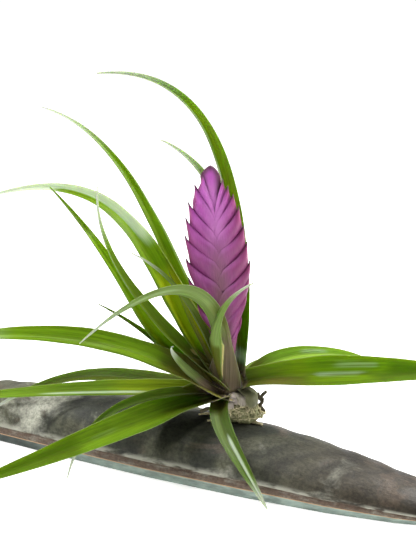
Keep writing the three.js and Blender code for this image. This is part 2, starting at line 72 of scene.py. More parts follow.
# Each leaf, by its node's name. Root and via are the start of its midrib and the curve's three
# handles: heading, reach and height about the leaning axis. The rest:
#   width           the widest part
#   roll, set       turn of the blade about its midrib, and the share of it that the root has
#   twist           further turn of the root alone
#   taper           how long the blade stays broad
#   full_at         share of the length where the blade is widest
#   channel         depth of the channel, as a share of LEAF's
#   sheath          width of the root, as a share of the widest part
#   husk            share of the length that is a brown sheath
#   lime            how lime the green is, from 0, grey, to 1
#   tone            how bright the green is
#   dusk            how dark and olive-brown the root is, partly painted shade deep in the rosette
#   dry, sun,       dry, sunlit and silvery stretches: from and to along the length, from and to
#   strips          across the half width, and strength. Sunlit ones paint light shining through,
#                   silvery ones silvery scales and painted sheen. A strip of negative strength is
#                   dark, as painted shade.
LEAVES = {
    "leaf_crest": dict(
        root=(97, 7, 14), via=((62, 25, 129), (84, 38, 246), (181, 91, 235)),
        width=17.5, roll=0, taper=0.95, sheath=0.9, husk=0.04, lime=1.0, tone=0.62, dusk=0.1,
        sun=((0.15, 0.8, -1.0, 0.7, 0.45),),
        strips=((0.55, 1.0, 0.6, 1.0, 0.5), (0.36, 0.62, 0.72, 1.0, 0.8),
                (0.0, 0.1, -1.0, 0.3, 0.8)),
    ),
    "leaf_behind_head": dict(
        root=(136, 7, 13), via=((112, 17, 64), (70, 34, 158), (168, 51, 187)),
        width=13, roll=0, taper=1.5, sheath=0.9, husk=0.2, lime=0.85, tone=0.72,
    ),
    "leaf_back_high": dict(
        root=(112, 8, 12), via=((110, 27, 60), (119, 58, 105), (119, 115, 92)),
        width=15, roll=15, taper=1.1, sheath=0.9, husk=0.22, lime=0.8, tone=0.9,
        strips=((0.3, 0.8, 0.1, 0.9, 0.5),),
    ),
    "leaf_back_left": dict(
        root=(147, 8, 11), via=((140, 24, 45), (139, 56, 90), (133, 100, 92)),
        width=13, roll=-10, taper=1.1, sheath=0.9, husk=0.2, lime=0.8, tone=0.9,
        strips=((0.4, 0.9, -0.9, -0.1, 0.5),),
    ),
    "leaf_upper_left": dict(
        root=(167, 9, 10), via=((191, 43, 70), (179, 54, 189), (187, 134, 209)),
        width=17, roll=-15, set=0.6, taper=0.85, sheath=1.2, husk=0.04, lime=1.0, tone=0.8,
        sun=((0.1, 0.45, -1.0, 1.0, 0.4),),
        strips=((0.25, 0.9, -1.0, -0.75, 0.4), (0.1, 0.75, 0.0, 0.7, -0.2)),
    ),
    "leaf_arched_left": dict(
        root=(197, 10, 8), via=((201, 60, 75), (194, 45, 186), (197, 180, 143)),
        width=27, roll=-40, set=0.5, taper=0.85, sheath=1.0, husk=0.04, lime=1.0, tone=0.94,
        dusk=0.2,
        sun=((0.08, 0.4, -1.0, 0.6, 1.5),),
        strips=((0.42, 1.0, -1.0, -0.18, 1.2), (0.45, 0.7, 0.4, 1.0, -0.4),
                (0.74, 1.0, -1.0, 1.0, 1.2)),
    ),
    "leaf_front_arch": dict(
        root=(252, 14, 4), via=((322, 17, 94), (260, 55, 117), (245, 130, 66)),
        width=13, roll=60, twist=45, taper=1.35, channel=0.7, sheath=2.1, husk=0.32, lime=0.3,
        tone=0.76, dusk=0.0,
        strips=((0.5, 0.85, -0.2, 0.5, 0.25), (0.26, 0.44, -1.0, 1.0, -0.4),
                (0.04, 0.4, 0.35, 1.0, -0.55)),
    ),
    "leaf_pale_short": dict(
        root=(222, 9, 8), via=((234, 20, 48), (233, 33, 94), (216, 68, 112)),
        width=11, roll=-40, set=0.6, taper=1.0, sheath=1.3, husk=0.25, lime=0.6, tone=0.66,
        strips=((0.6, 0.95, -0.6, 0.4, 0.1), (0.2, 0.55, -1.0, 0.2, -0.5)),
    ),
    "leaf_front_hook": dict(
        root=(250, 11, 6), via=((256, 26, 38), (262, 32, 76), (334, 33, 94)),
        width=15, roll=0, taper=0.5, full_at=0.42, sheath=0.12, husk=0.12, lime=0.45, tone=0.8,
        dusk=0.0,
        dry=((0.05, 0.5, 0.82, 1.0, 0.8),),
        strips=((0.08, 0.44, -1.0, 0.65, -1.2),),
    ),
    "leaf_slender_left": dict(
        root=(216, 11, 6), via=((215, 71, 37), (222, 64, 90), (214, 120, 161)),
        width=19, roll=-45, set=0.6, taper=1.0, sheath=1.15, husk=0.04, lime=1.0, tone=1.0,
        sun=((0.2, 0.5, -0.6, 0.5, 0.6),),
        strips=((0.75, 1.0, -1.0, 1.0, -0.75), (0.15, 0.7, 0.6, 1.0, 0.15)),
    ),
    "leaf_slender_front": dict(
        root=(228, 11, 6), via=((225, 53, 55), (222, 99, 107), (227, 89, 165)),
        width=17, roll=-40, set=0.6, taper=1.05, sheath=1.3, husk=0.04, lime=0.9, tone=0.82,
        dry=((0.14, 0.23, -0.75, -0.45, 1.4),),
        strips=((0.05, 0.85, -1.0, -0.05, -0.4), (0.5, 0.95, 0.2, 1.0, 0.3)),
    ),
    "leaf_curled_tip": dict(
        root=(243, 14, 3), via=((246, 41, 23), (248, 65, 51), (253, 59, 51.5)),
        width=7, roll=-70, set=1.0, taper=3.5, channel=0.2, sheath=1.1, husk=0.5, lime=0.3,
        tone=0.6, dusk=0.0,
        strips=((0.9, 1.0, -1.0, 1.0, 0.5),),
    ),
    "leaf_right_arched": dict(
        root=(49, 7, 3), via=((55, 31, 33), (42, 90, 33), (38, 130, 3)),
        width=15.5, roll=35, taper=1.1, sheath=0.9, husk=0.04, lime=0.8, tone=1.12,
        strips=((0.34, 0.58, 0.15, 0.6, 0.45),),
    ),
    "leaf_dark_short": dict(
        root=(215, 10, 4.5), via=((216, 40, 21), (216, 56, 50.5), (216, 95, 74.5)),
        width=10, roll=-35, set=0.6, taper=1.0, sheath=1.3, husk=0.08, lime=0.5, tone=0.4,
        strips=((0.2, 1.0, -1.0, 1.0, -0.9),),
    ),
    "leaf_left_broad": dict(
        root=(228, 13, 4), via=((240, 32, 5), (236, 69, 74), (222, 215, 60)),
        width=18, roll=-50, set=0.8, taper=1.5, full_at=0.4, sheath=1.6, husk=0.04, lime=0.95,
        tone=0.86, dusk=0.6,
        strips=((0.0, 0.8, -1.0, -0.72, -0.65), (0.1, 0.6, 0.8, 1.0, -0.6),
                (0.35, 0.9, 0.1, 0.6, 0.2), (0.0, 0.3, -1.0, 1.0, -0.65)),
    ),
    "leaf_back_low": dict(
        root=(75, 8, 4), via=((77, 34, 21), (71, 71, 18), (70, 108, -6)),
        width=14, roll=0, taper=1.1, sheath=0.9, husk=0.15, lime=0.8, tone=0.9,
    ),
    "leaf_left_drooping": dict(
        root=(198, 11, 2.5), via=((193, 65, -6), (192, 110, 31), (191, 212, -40)),
        width=16, roll=-30, set=0.6, taper=1.2, sheath=1.0, husk=0.06, lime=0.75, tone=0.36,
        strips=((0.08, 0.8, -1.0, 1.0, -0.75),),
    ),
    "leaf_right_broad": dict(
        root=(17, 7.5, 9), via=((8, 20, 17), (18, 104, 26), (18, 200, 26)),
        width=25, roll=45, set=0.85, taper=1.35, full_at=0.34, sheath=0.66, husk=0.02, lime=1.0,
        tone=0.74, dusk=0.4,
        sun=((0.0, 0.3, -0.1, 1.0, 0.35),),
        strips=((0.22, 0.52, -0.65, 0.05, 0.62), (0.0, 0.9, -1.0, -0.15, -0.55),
                (0.3, 0.6, 0.3, 0.7, 0.3), (0.5, 1.0, -1.0, 1.0, -0.9)),
    ),
    "leaf_left_level": dict(
        root=(213, 12, 1.5), via=((217, 71, 12), (215, 152, 11), (215, 235, 5)),
        width=16, roll=-32, set=0.9, taper=1.3, channel=0.55, sheath=0.95, husk=0.05, lime=0.9,
        tone=0.85, dusk=0.2,
        sun=((0.04, 0.4, -1.0, 1.0, 0.6),),
        strips=((0.2, 0.65, 0.3, 0.72, 0.7),),
    ),
    "leaf_lower_narrow": dict(
        root=(231, 10, 0.5), via=((230, 54, 10.5), (229, 113, 18), (228.5, 136, -46)),
        width=11, roll=-30, taper=1.1, sheath=1.0, husk=0.15, lime=0.8, tone=0.55,
    ),
    "leaf_lower_broad": dict(
        root=(243, 13, 0), via=((235, 76, -1), (239, 135, -17), (237, 228, -27)),
        width=22.5, roll=-40, set=0.3, taper=1.6, sheath=1.3, husk=0.1, lime=0.95, tone=0.8,
        dusk=0.25,
        dry=((0.0, 0.13, -1.0, 1.0, 0.42),),
        strips=((0.36, 0.56, -0.3, 0.2, 0.2), (0.0, 0.3, -1.0, 1.0, -0.2),
                (0.5, 1.0, -1.0, 1.0, -1.0)),
    ),
    "leaf_front_hanging": dict(
        root=(258, 12, 1), via=((262, 36, -6), (290, 62, -13), (308, 82, -56)),
        width=14, roll=0, taper=1.6, sheath=1.0, husk=0.05, lime=0.6, tone=0.38,
        strips=((0.36, 1.0, 0.0, 0.35, 1.2),),
    ),
}
# What the leaves share. Full_at, rolled_at and flat_at are shares of the length, the channels
# and the wave are shares of the width, and the valley is a share of the half width.
LEAF = dict(
    full_at=0.22, rolled_at=0.45, flat_at=0.3, root_channel=0.36, blade_channel=0.25, valley=0.11,
    wave=0.035, wave_length=26.0, tip_width=0.9, rib=1.2, tip_thick=0.6, edge_thin=0.3, keel=0.2,
    dusk=0.85,
)
LEAF_ALONG = 84  # steps of the mesh along a blade
LEAF_ACROSS = 15  # lines of points on each face of a blade
LEAF_CROWDING = 1.35  # how closely the lines along a blade lie at its margins
LEAF_WAX = {
    "Specular IOR Level": 0.09, "Subsurface Weight": 0.25, "Subsurface Scale": 0.004,
    "Subsurface Radius": (0.6, 1.0, 0.15),
}
STRIP_EDGE = 0.12  # softness of a strip's edges, as a share of the half width

# Flower head: its foot over the rosette, its length, its half thickness, its half width over the
# widest tips, and the heading that one flat side faces.
HEAD = dict(foot=36.0, length=138.8, thick=5.6, half=24.0, facing=297.0)
# Each bract, outermost first: its tip's height along the head, how far the tip reaches from the
# midline, to the left where negative, and how far its margin falls from the tip to the midline.
BRACT_TIPS = (
    (19, -14, 16), (27, 14, 22), (36, -18, 20), (45.5, 19, 25), (55, -23.2, 21), (57, 21.3, 25),
    (68, 23, 23), (70, -24, 19), (82.5, 22, 22), (87, -23.2, 20), (94.7, 20.4, 19),
    (100.5, -21.6, 21), (109.5, 18.2, 22), (112, -18.6, 23), (118, 15.6, 22), (124, 12.3, 22),
    (125, -12.1, 24), (129, 9, 22), (134, -6.2, 24),
)
# The head's outline, from its foot to its top: height, half width and where its midline lies.
HEAD_OUTLINE = (
    (0, 4, -1), (12, 9.5, -3.6), (26, 14.2, -4), (39, 17.6, -3.4), (47, 19.5, -2.8),
    (61, 21.5, -2.1), (68, 21.8, -1.8), (84, 20.8, -1.2), (98, 19.6, -0.6), (110, 17.5, -0.2),
    (118, 15.8, -0.7), (124, 13, -0.5), (128.5, 9.8, -0.3), (132, 7.3, -0.3), (135, 5.3, 0.3),
    (137.3, 3.3, 0.6), (138.8, 0.9, 0.8),
)
# A bract: how far it clasps past the midline, as a share of its reach, its length, how steeply
# its margin dives there, and its thickness.
BRACT = dict(clasp=0.24, length=36.0, steep=60.0, shell=0.4)
BRACT_ACROSS = 24  # steps of the mesh from margin to margin over the keel
BRACT_ALONG = 32  # steps of the mesh from a bract's foot to its margin
BRACT_SPACING = 14.0  # most height that a bract shows between its margin and the next
BRACT_STEP = 0.24  # how far a margin stands off the bract that it lies on
YOUNG_STEP = 0.2  # the same for the young bracts
BRACT_BULGE = 0.6  # roundness of a bract's face between margins
YOUNG_FROM, YOUNG_BY = 106.0, 122.0  # heights between which the bracts turn smooth
BUD_HALF = (12.0, 7.2)  # half width of the closed bud, low down and below its dome
BUD_NARROWS = (90.0, 120.0)  # heights between which it goes from one to the other
BUD_ALONG = 90  # rows of points up the bud
BUD_ACROSS = 25  # points on each face of a row
FAR_BELOW = -1000.0  # height of a margin that doesn't reach a place
BRACT_WAX = {
    "Specular IOR Level": 0.3, "Subsurface Weight": 0.12, "Subsurface Scale": 0.003,
    "Subsurface Radius": (1.0, 0.4, 0.8),
}

# Stations along the spathe: x, half width and crest height.
SPATHE_STATIONS = (
    (-296, 4, 4), (-276, 14, 17), (-250, 22, 28), (-212, 29, 38.5), (-130, 35, 44.5), (-50, 39, 45),
    (30, 39, 40.5), (90, 35, 31), (140, 27, 22), (180, 15, 12), (206, 4, 4),
)
SPATHE_FULL = 40.0  # crest height from which the lip has its full size
SPATHE_WALL = 3.0  # thickness of the shell
SPATHE_ENDS = (6.0, 26.0)  # crest heights between which the hollow opens
# The lip, from the foot of the rim upwards: distance out from the half width, and height.
SPATHE_LIP = (
    (-4.0, 0.0), (-3.5, 2.4), (-3.1, 4.8), (-2.9, 6.6), (-2.5, 7.3), (-1.1, 7.5), (-0.2, 7.9),
    (0.5, 8.8), (0.9, 10.2), (0.8, 11.6), (0.3, 12.7), (-0.7, 13.3), (-0.9, 13.8), (-0.3, 14.5),
)
SPATHE_ALONG = 300  # steps of the mesh along the length
SPATHE_CROWDING = 0.35  # how closely the rings lie at the ends, from 0, evenly, to 1
SPATHE_ARCH = 34  # steps of the mesh over the arch, from lip to lip
SPATHE_FIBRE = (0.3, 1.0, 1.0)  # scale of the fibres' noise, drawn out along the length
SPATHE_SMOOTH_END = 30.0  # length at each end over which the wrinkles fade
# Soft marks as seen from above: middle, radii, slant and strength. The first table is painted shadow
# cast by the plant and its leaves; the second is worn, bleached patches.
SPATHE_PAINTED_SHADOW = (
    ((-30, -15), (13, 24), 0.32, 1.0),
    ((-132, -26), (6.5, 16), 1.6, 0.42),
)
SPATHE_BLEACH = (
    ((-158, -22), (20, 13), 0.4, 1.0),
    ((-114, -28), (13, 8), 0.8, 0.2),
)

# Root clump: its middle, its top, its length and depth, and the half height of its core.
CLUMP = dict(x=2.0, y=11.0, middle=46.0, top=57.5, length=33.0, depth=28.0, height=12.0)
CLUMP_ROWS = 46  # rows of points from pole to pole of the core
CLUMP_AROUND = 96  # points round a row
# Roots that creep over the spathe: heading, length and how far the heading swings.
CREEPING_ROOTS = (
    (190, 30, 20), (255, 26, -25), (318, 22, 30), (5, 23, -20), (60, 27, 25), (120, 28, -20),
)
# Wiry roots that stand off the clump, point by point.
WIRY_ROOTS = (
    ((15, 17, 42), (15.5, 17.5, 50), (18, 18, 54), (17.5, 18.5, 58), (20.5, 20, 62.5)),
    ((14, 17, 50), (17, 19, 49), (19, 20, 46)),
    ((18, 18.5, 55), (15.5, 17.5, 58), (15, 17.5, 61)),
    ((-12, 4, 46), (-18, 0, 49), (-24, -2, 46)),
)
ROOT_STEPS = 60  # steps of the mesh along a root
ROOT_SIDES = 8
# Radii at the start and the tip.
CREEPING_RADII = (1.5, 0.8)
WIRY_RADII = (1.9, 1.1)
# Strands wound over the clump: radii of the thinnest and the thickest, a tip's share of its
# strand's radius, how far the heading swings either way, and where a strand may start and how
# far past the clump's edge it may run, as shares of the clump.
STRAND = dict(thin=0.45, thick=1.05, tip=0.55, swing=75.0, starts=(0.25, 0.8),
              creeps=(0.0, 0.05, 0.12, 0.25))
# The stem: heights over the rosette, and radii where the leaves leave it and at its top.
STEM = dict(bottom=-7.0, widest=4.0, shoulder=15.0, neck=24.0, top=35.7, root_r=5.4, top_r=2.6)
STEM_ALONG = 30  # rings of the stem
STEM_SIDES = 20
# Old leaf bases that hang over the root clump: heading, reach, top, bottom, width, and how olive.
OLD_BASES = (
    (352, 17.5, 6, -7, 15, 0.9), (322, 15.5, 4, -5, 11, 0.5), (302, 14, 4, -4, 13, 0.15),
    (270, 15, 0, -7.5, 9, 0.2), (252, 14, 0, -10, 10, 0.2), (30, 16, 5, -8, 14, 0.7),
    (70, 15, 4, -9, 13, 0.4), (115, 14, 3, -8, 13, 0.6), (165, 14, 2, -8, 12, 0.3),
    (205, 13, 0, -9, 10, 0.5),
)
# What they share: mesh rows and columns, thickness at the stem and at the end, and the radius
# that they curl to.
OLD_BASE = dict(rows=24, across=21, thick=1.3, edge=0.5, curl=9.0)

# ---- shared helpers ------------------------------------------------------------------

CURVE_STEPS = 600  # points that measure a cubic curve
KNOT_STEPS = 12  # points that measure a smooth line between two of its knots


def frame_origin():
    """Where the tables' origin lies in the frame, in metres."""
    low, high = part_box("spathe")
    middle = (SPATHE_STATIONS[0][0] + SPATHE_STATIONS[-1][0]) / 2
    return np.array([(low.x + high.x) / 2 - middle * MM, (low.y + high.y) / 2, 0.0])


ORIGIN = frame_origin()


def heading(degrees):
    """The level unit vector at a heading."""
    turn = math.radians(degrees)
    return np.array([math.cos(turn), math.sin(turn), 0.0])


def mix(a, b, share):
    """The value at a share of the way from a to b."""
    return a + (b - a) * share


def ease(value, start, end):
    """A smooth step from 0 at start to 1 at end."""
    share = np.clip((np.asarray(value, float) - start) / (end - start), 0.0, 1.0)
    return share * share * (3.0 - 2.0 * share)


def unit(vector):
    """Vectors of the same direction and length 1."""
    return vector / np.linalg.norm(vector, axis=-1, keepdims=True)


def turned(vector, axis, degrees):
    """The vector turned about a unit axis."""
    turn = math.radians(degrees)
    return (vector * math.cos(turn) + np.cross(axis, vector) * math.sin(turn)
            + axis * np.dot(axis, vector) * (1.0 - math.cos(turn)))


def on_axis(height, lean=LEAN_STEM):
    """A point on the leaning axis through the rosette."""
    drift = math.tan(math.radians(lean)) * height
    return ROSETTE + heading(LEAN_HEADING) * drift + np.array([0.0, 0.0, height])


def soft_noise(points, size, seed=0.0):
    """Smooth noise from -1 to 1 at each point, with lumps of about that size in millimetres."""
    flat = np.asarray(points, float).reshape(-1, 3) / size + seed
    values = np.array([noise.noise(Vector(p)) for p in flat])
    return values.reshape(np.asarray(points).shape[:-1])


def carried(points):
    """Unit tangents along a line of points, and a side vector carried along without twist."""
    tangents = unit(np.gradient(points, axis=0))
    start = np.cross(tangents[0], [0.0, 0.0, 1.0])
    if np.linalg.norm(start) < 0.1:
        start = np.cross(tangents[0], [1.0, 0.0, 0.0])
    return tangents, carried_sides(tangents, start)


def carried_sides(tangents, side):
    """A side vector carried along unit tangents without twist."""
    sides = []
    for tangent in tangents:
        side = unit(side - tangent * np.dot(side, tangent))
        sides.append(side)
    return np.array(sides)


def bezier(corners, count):
    """Points at even distances along a cubic curve, and its length."""
    u = np.linspace(0.0, 1.0, CURVE_STEPS)[:, None]
    w = 1.0 - u
    blend = np.hstack([w ** 3, 3 * w * w * u, 3 * w * u * u, u ** 3])
    return evenly(blend @ np.asarray(corners), count)


def evenly(curve, count):
    """The line through these points, at even distances, and its length."""
    run = np.concatenate([[0.0], np.cumsum(np.linalg.norm(np.diff(curve, axis=0), axis=1))])
    stops = np.linspace(0.0, run[-1], count + 1)
    return np.stack([np.interp(stops, run, curve[:, k]) for k in range(3)], axis=1), run[-1]


def smooth_line(points, count):
    """An evenly stepped Catmull-Rom line through a few points."""
    knots = np.array([points[0], *points, points[-1]], float)
    fine = []
    for k in range(1, len(knots) - 2):
        a, b, c, d = knots[k - 1:k + 3]
        for t in np.linspace(0.0, 1.0, KNOT_STEPS, endpoint=False):
            fine.append(0.5 * (2 * b + (c - a) * t + (2 * a - 5 * b + 4 * c - d) * t * t
                               + (3 * b - a - 3 * c + d) * t ** 3))
    fine.append(knots[-2])
    return evenly(np.array(fine), count)[0]


class Sleeves:
    """Closed tubes of rings, gathered into one mesh, with a value per point for the finishes.

    A ring runs along one face of the piece and back along the other, so each end is closed by
    quads from one face to the other.
    """

    def __init__(self):
        self.points = []
        self.faces = []
        self.values = {}
        self.count = 0

    def add(self, rings, **values):
        """Take in one tube, and the values at its points by name."""
        rows, ring = rings.shape[:2]
        base = self.count
        index = np.arange(rows * ring).reshape(rows, ring) + base
        after = np.roll(index, -1, axis=1)
        walls = np.stack([index[:-1], after[:-1], after[1:], index[1:]], axis=-1)
        self.faces.append(walls.reshape(-1, 4))
        half = ring // 2
        for row, step in ((index[0], -1), (index[-1], 1)):
            near, far = row[:half], row[half:][::-1]
            lid = np.stack([near[:-1], near[1:], far[1:], far[:-1]], axis=-1)
            self.faces.append(lid[:, ::step])
        self.points.append(rings.reshape(-1, 3))
        for name, value in values.items():
            spread = np.broadcast_to(np.asarray(value, float), (rows, ring))
            self.values.setdefault(name, []).append(spread.reshape(-1))
        self.count += rows * ring

    def mesh(self, name):
        """The finished mesh, in metres in the frame, faces turned outwards."""
        mesh = bpy.data.meshes.new(name)
        points = np.concatenate(self.points) * MM + ORIGIN
        mesh.from_pydata(points.tolist(), [], np.concatenate(self.faces).tolist())
        for key, parts in self.values.items():
            layer = mesh.attributes.new(key, "FLOAT", "POINT")
            layer.data.foreach_set("value", np.concatenate(parts).astype(np.float32))
        shell = bmesh.new()
        shell.from_mesh(mesh)
        bmesh.ops.recalc_face_normals(shell, faces=shell.faces)
        shell.to_mesh(mesh)
        shell.free()
        mesh.shade_smooth()
        return mesh


def tube(path, radii, sides):
    """Rings of a round tube along a path."""
    tangents, side = carried(path)
    up = np.cross(tangents, side)
    turns = np.linspace(0.0, 2.0 * math.pi, sides, endpoint=False)
    radii = np.broadcast_to(np.asarray(radii, float), (len(path),))
    spokes = (side[:, None] * np.cos(turns)[None, :, None]
              + up[:, None] * np.sin(turns)[None, :, None])
    return path[:, None] + spokes * radii[:, None, None]


def make_piece(name, mesh, material, slot, *nodes):
    """A piece of the plant, riding the frame in place of CAD nodes."""
    piece = bpy.data.objects.new(name, mesh)
    bpy.context.scene.collection.objects.link(piece)
    mesh.materials.append(material)
    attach(piece, BODY)
    if nodes:
        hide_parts(*nodes)
    return piece


class Finish:
    """A procedural material, built step by step round its own shader."""

    def __init__(self, name, sockets=None):
        self.material = bpy.data.materials.new(name)
        self.material.use_nodes = True
        self.tree = self.material.node_tree
        self.shader = self.tree.nodes["Principled BSDF"]
        for key, value in (sockets or {}).items():
            self.shader.inputs[key].default_value = value

    def node(self, kind, **settings):
        """A new node with these settings."""
        made = self.tree.nodes.new(kind)
        for key, value in settings.items():
            setattr(made, key, value)
        return made

    def feed(self, socket, source):
        """Link another socket to this one, or set it to a number or colour."""
        if isinstance(source, bpy.types.NodeSocket):
            self.tree.links.new(source, socket)
        elif hasattr(source, "__len__") and len(source) == 3 and len(socket.default_value) == 4:
            socket.default_value = (*source, 1.0)
        else:
            socket.default_value = source

    def given(self, *names):
        """Values that the mesh holds at each point."""
        return [self.node("ShaderNodeAttribute", attribute_name=name).outputs["Fac"]
                for name in names]

    def place(self):
        """Where a point lies, in metres."""
        return self.node("ShaderNodeTexCoord").outputs["Object"]

    def maths(self, operation, a, b=0.0):
        """One operation on two numbers."""
        made = self.node("ShaderNodeMath", operation=operation)
        self.feed(made.inputs[0], a)
        self.feed(made.inputs[1], b)
        return made.outputs[0]

    def times(self, a, b):
        """One number times the other."""
        return self.maths("MULTIPLY", a, b)

    def plus(self, a, b):
        """One number plus the other."""
        return self.maths("ADD", a, b)

    def less(self, a, b):
        """The first number less the second."""
        return self.maths("SUBTRACT", a, b)

    def magnitude(self, a):
        """A number without its sign."""
        return self.maths("ABSOLUTE", a)

    def span(self, value, low, high, out_low=0.0, out_high=1.0):
        """The value's range from low to high, mapped smoothly and held beyond its ends."""
        made = self.node("ShaderNodeMapRange", interpolation_type="SMOOTHSTEP")
        for k, source in enumerate((value, low, high, out_low, out_high)):
            self.feed(made.inputs[k], source)
        return made.outputs[0]

    def vector(self, x, y, z=0.0):
        """A vector of three numbers."""
        made = self.node("ShaderNodeCombineXYZ")
        for k, source in enumerate((x, y, z)):
            self.feed(made.inputs[k], source)
        return made.outputs[0]

    def noise(self, where, scale, detail=3.0, rough=0.55, warp=0.0, stretch=None):
        """Cloudy noise from 0 to 1, drawn out where a stretch is given."""
        if stretch is not None:
            mapping = self.node("ShaderNodeMapping")
            mapping.inputs["Scale"].default_value = stretch
            self.feed(mapping.inputs["Vector"], where)
            where = mapping.outputs[0]
        made = self.node("ShaderNodeTexNoise")
        self.feed(made.inputs["Vector"], where)
        made.inputs["Scale"].default_value = scale
        made.inputs["Detail"].default_value = detail
        made.inputs["Roughness"].default_value = rough
        made.inputs["Distortion"].default_value = warp
        return made.outputs[0]

    def blend(self, share, a, b):
        """The colour at a share of the way from a to b."""
        made = self.node("ShaderNodeMix", data_type="RGBA")
        for k, source in ((0, share), (6, a), (7, b)):
            self.feed(made.inputs[k], source)
        return made.outputs[2]

    def dim(self, colour, share):
        """The colour darkened by a share that varies over the surface."""
        made = self.node("ShaderNodeMix", data_type="RGBA", blend_type="MULTIPLY")
        made.inputs[0].default_value = 1.0
        self.feed(made.inputs[6], colour)
        self.feed(made.inputs[7], self.vector(share, share, share))
        return made.outputs[2]

    def relief(self, height, depth):
        """Bump of a depth in millimetres."""
        made = self.node("ShaderNodeBump")
        made.inputs["Distance"].default_value = depth * MM
        self.feed(made.inputs["Height"], height)
        return made.outputs[0]

    def wear(self, colour, roughness, normal=None):
        """Put colour, roughness and relief on the shader, and return the finished material."""
        self.feed(self.shader.inputs["Base Color"], colour)
        self.feed(self.shader.inputs["Roughness"], roughness)
        if normal is not None:
            self.feed(self.shader.inputs["Normal"], normal)
        return self.material


def colour_setting(name, description, default):
    """A colour that a user may change."""
    return bpy.props.FloatVectorProperty(
        name=name, description=description, default=default, subtype="COLOR", size=3,
        min=0.0, max=1.0,
    )


def length_setting(name, description, default):
    """A length in metres, from millimetres."""
    return bpy.props.FloatProperty(
        name=name, description=description, default=default * MM, unit="LENGTH",
        subtype="DISTANCE", min=0.0, precision=4,
    )


# ---- settings ------------------------------------------------------------------------


class LeafSettings(bpy.types.PropertyGroup):
    """Colours and fine sizes of the leaves"""

    lime: colour_setting("Lime", "Green of the best lit blades", (0.162, 0.272, 0.002))
    deep: colour_setting("Deep", "Green of the streaks and the blades' roots", (0.064, 0.102, 0.001))
    sage: colour_setting("Sage", "Green of the scaly, greyer blades", (0.2, 0.26, 0.09))
    # Silvery strips: scales, and painted sheen where the leaves catch the light.
    silver_and_sheen: colour_setting("Silver", "Silvery strips of scales", (0.41, 0.48, 0.35))
    dry: colour_setting("Dry", "Straw colour of dry margins", (0.42, 0.32, 0.15))
    # Painted shade: colour of the dark strips and of the roots deep in the rosette.
    dusk: colour_setting("Dusk", "Dark strips and folded roots", (0.095, 0.09, 0.014))
    husk: colour_setting("Husk", "Brown of the sheaths", (0.132, 0.104, 0.063))
    # Drying tips, paled further as painted backlight.
    tip: colour_setting("Tip", "Grey of the drying tips", (0.4, 0.42, 0.37))
    sun: colour_setting("Sun", "Yellow green where the light shines through", (0.24, 0.3, 0.002))
    vein: length_setting("Vein spacing", "Distance between the fine veins", 0.55)
    relief: length_setting("Vein relief", "Height of the fine veins", 0.05)


class HeadSettings(bpy.types.PropertyGroup):
    """Colours and sizes of the flower head"""

    petal: colour_setting("Petal", "Orchid colour of the young bracts", (0.44, 0.09, 0.42))
    face: colour_setting("Face", "Colour of the older bracts' faces", (0.268, 0.054, 0.205))
    flush: colour_setting("Flush", "Redder colour of the keels", (0.24, 0.04, 0.12))
    olive: colour_setting("Olive", "Tint along the midline, low down", (0.22, 0.095, 0.12))
    # Painted highlight on the young bracts and across each bract's face.
    glow: colour_setting("Glow", "Pale bloom on the young bracts", (0.6, 0.21, 0.56))
    crease_shade: colour_setting("Crease", "Shade under the margins", (0.19, 0.032, 0.125))
    tip: colour_setting("Tip", "Dark colour of the tips", (0.07, 0.02, 0.035))
    shell: length_setting("Shell", "Thickness of a bract", BRACT["shell"])


class RootSettings(bpy.types.PropertyGroup):
    """Colours and numbers of the roots and old leaf bases"""

    tan: colour_setting("Tan", "Dry outer roots", (0.62, 0.55, 0.33))
    olive: colour_setting("Olive", "Damp inner roots", (0.24, 0.245, 0.12))
    husk: colour_setting("Husk", "Old leaf bases", (0.4, 0.345, 0.3))
    wire: colour_setting("Wire", "Dark wiry roots", (0.1, 0.085, 0.05))
    strands: bpy.props.IntProperty(
        name="Strands", description="Roots wound over the clump", default=90, min=0, max=300)


class SpatheSettings(bpy.types.PropertyGroup):
    """Colours and relief of the palm spathe"""

    grey: colour_setting("Grey", "Weathered face", (0.076, 0.076, 0.049))
    # Dark patches, and the colour of the painted shadow of the plant on the spathe.
    dark: colour_setting("Dark", "Hollows and stains", (0.026, 0.028, 0.019))
    # Worn silvery patches, and the colour of the painted highlight along the lip.
    silver_and_sheen: colour_setting("Silver", "Worn silvery patches", (0.345, 0.345, 0.28))
    brown: colour_setting("Brown", "Rounded lip", (0.095, 0.065, 0.045))
    band: colour_setting("Band", "Recessed band under the lip", (0.095, 0.12, 0.105))
    seam: colour_setting("Seam", "Thin tan line under the lip", (0.42, 0.25, 0.12))
    wrinkle: length_setting("Wrinkles", "Depth of the soft wrinkles", 1.1)


class StageSettings(bpy.types.PropertyGroup):
    """Floor, light and camera"""

    floor: colour_setting("Floor", "Plain pale floor", (0.9, 0.9, 0.9))
    radius: bpy.props.FloatProperty(
        name="Floor radius", description="Radius of the round floor", default=9.0, unit="LENGTH")
    lens: bpy.props.FloatProperty(
        name="Lens", description="Focal length in millimetres", default=89.385, unit="CAMERA")
    key: bpy.props.FloatProperty(
        name="Key light", description="Power of the main soft light in watts", default=24.0,
        unit="POWER")


SETTINGS = {
    "quill_leaf": LeafSettings, "quill_head": HeadSettings, "quill_root": RootSettings,
    "quill_spathe": SpatheSettings, "quill_stage": StageSettings,
}

# ---- spathe --------------------------------------------------------------------------


def spathe_size(x):
    """Half width and crest height at a place along the spathe."""
    table = np.array(SPATHE_STATIONS, float)
    return np.interp(x, table[:, 0], table[:, 1]), np.interp(x, table[:, 0], table[:, 2])


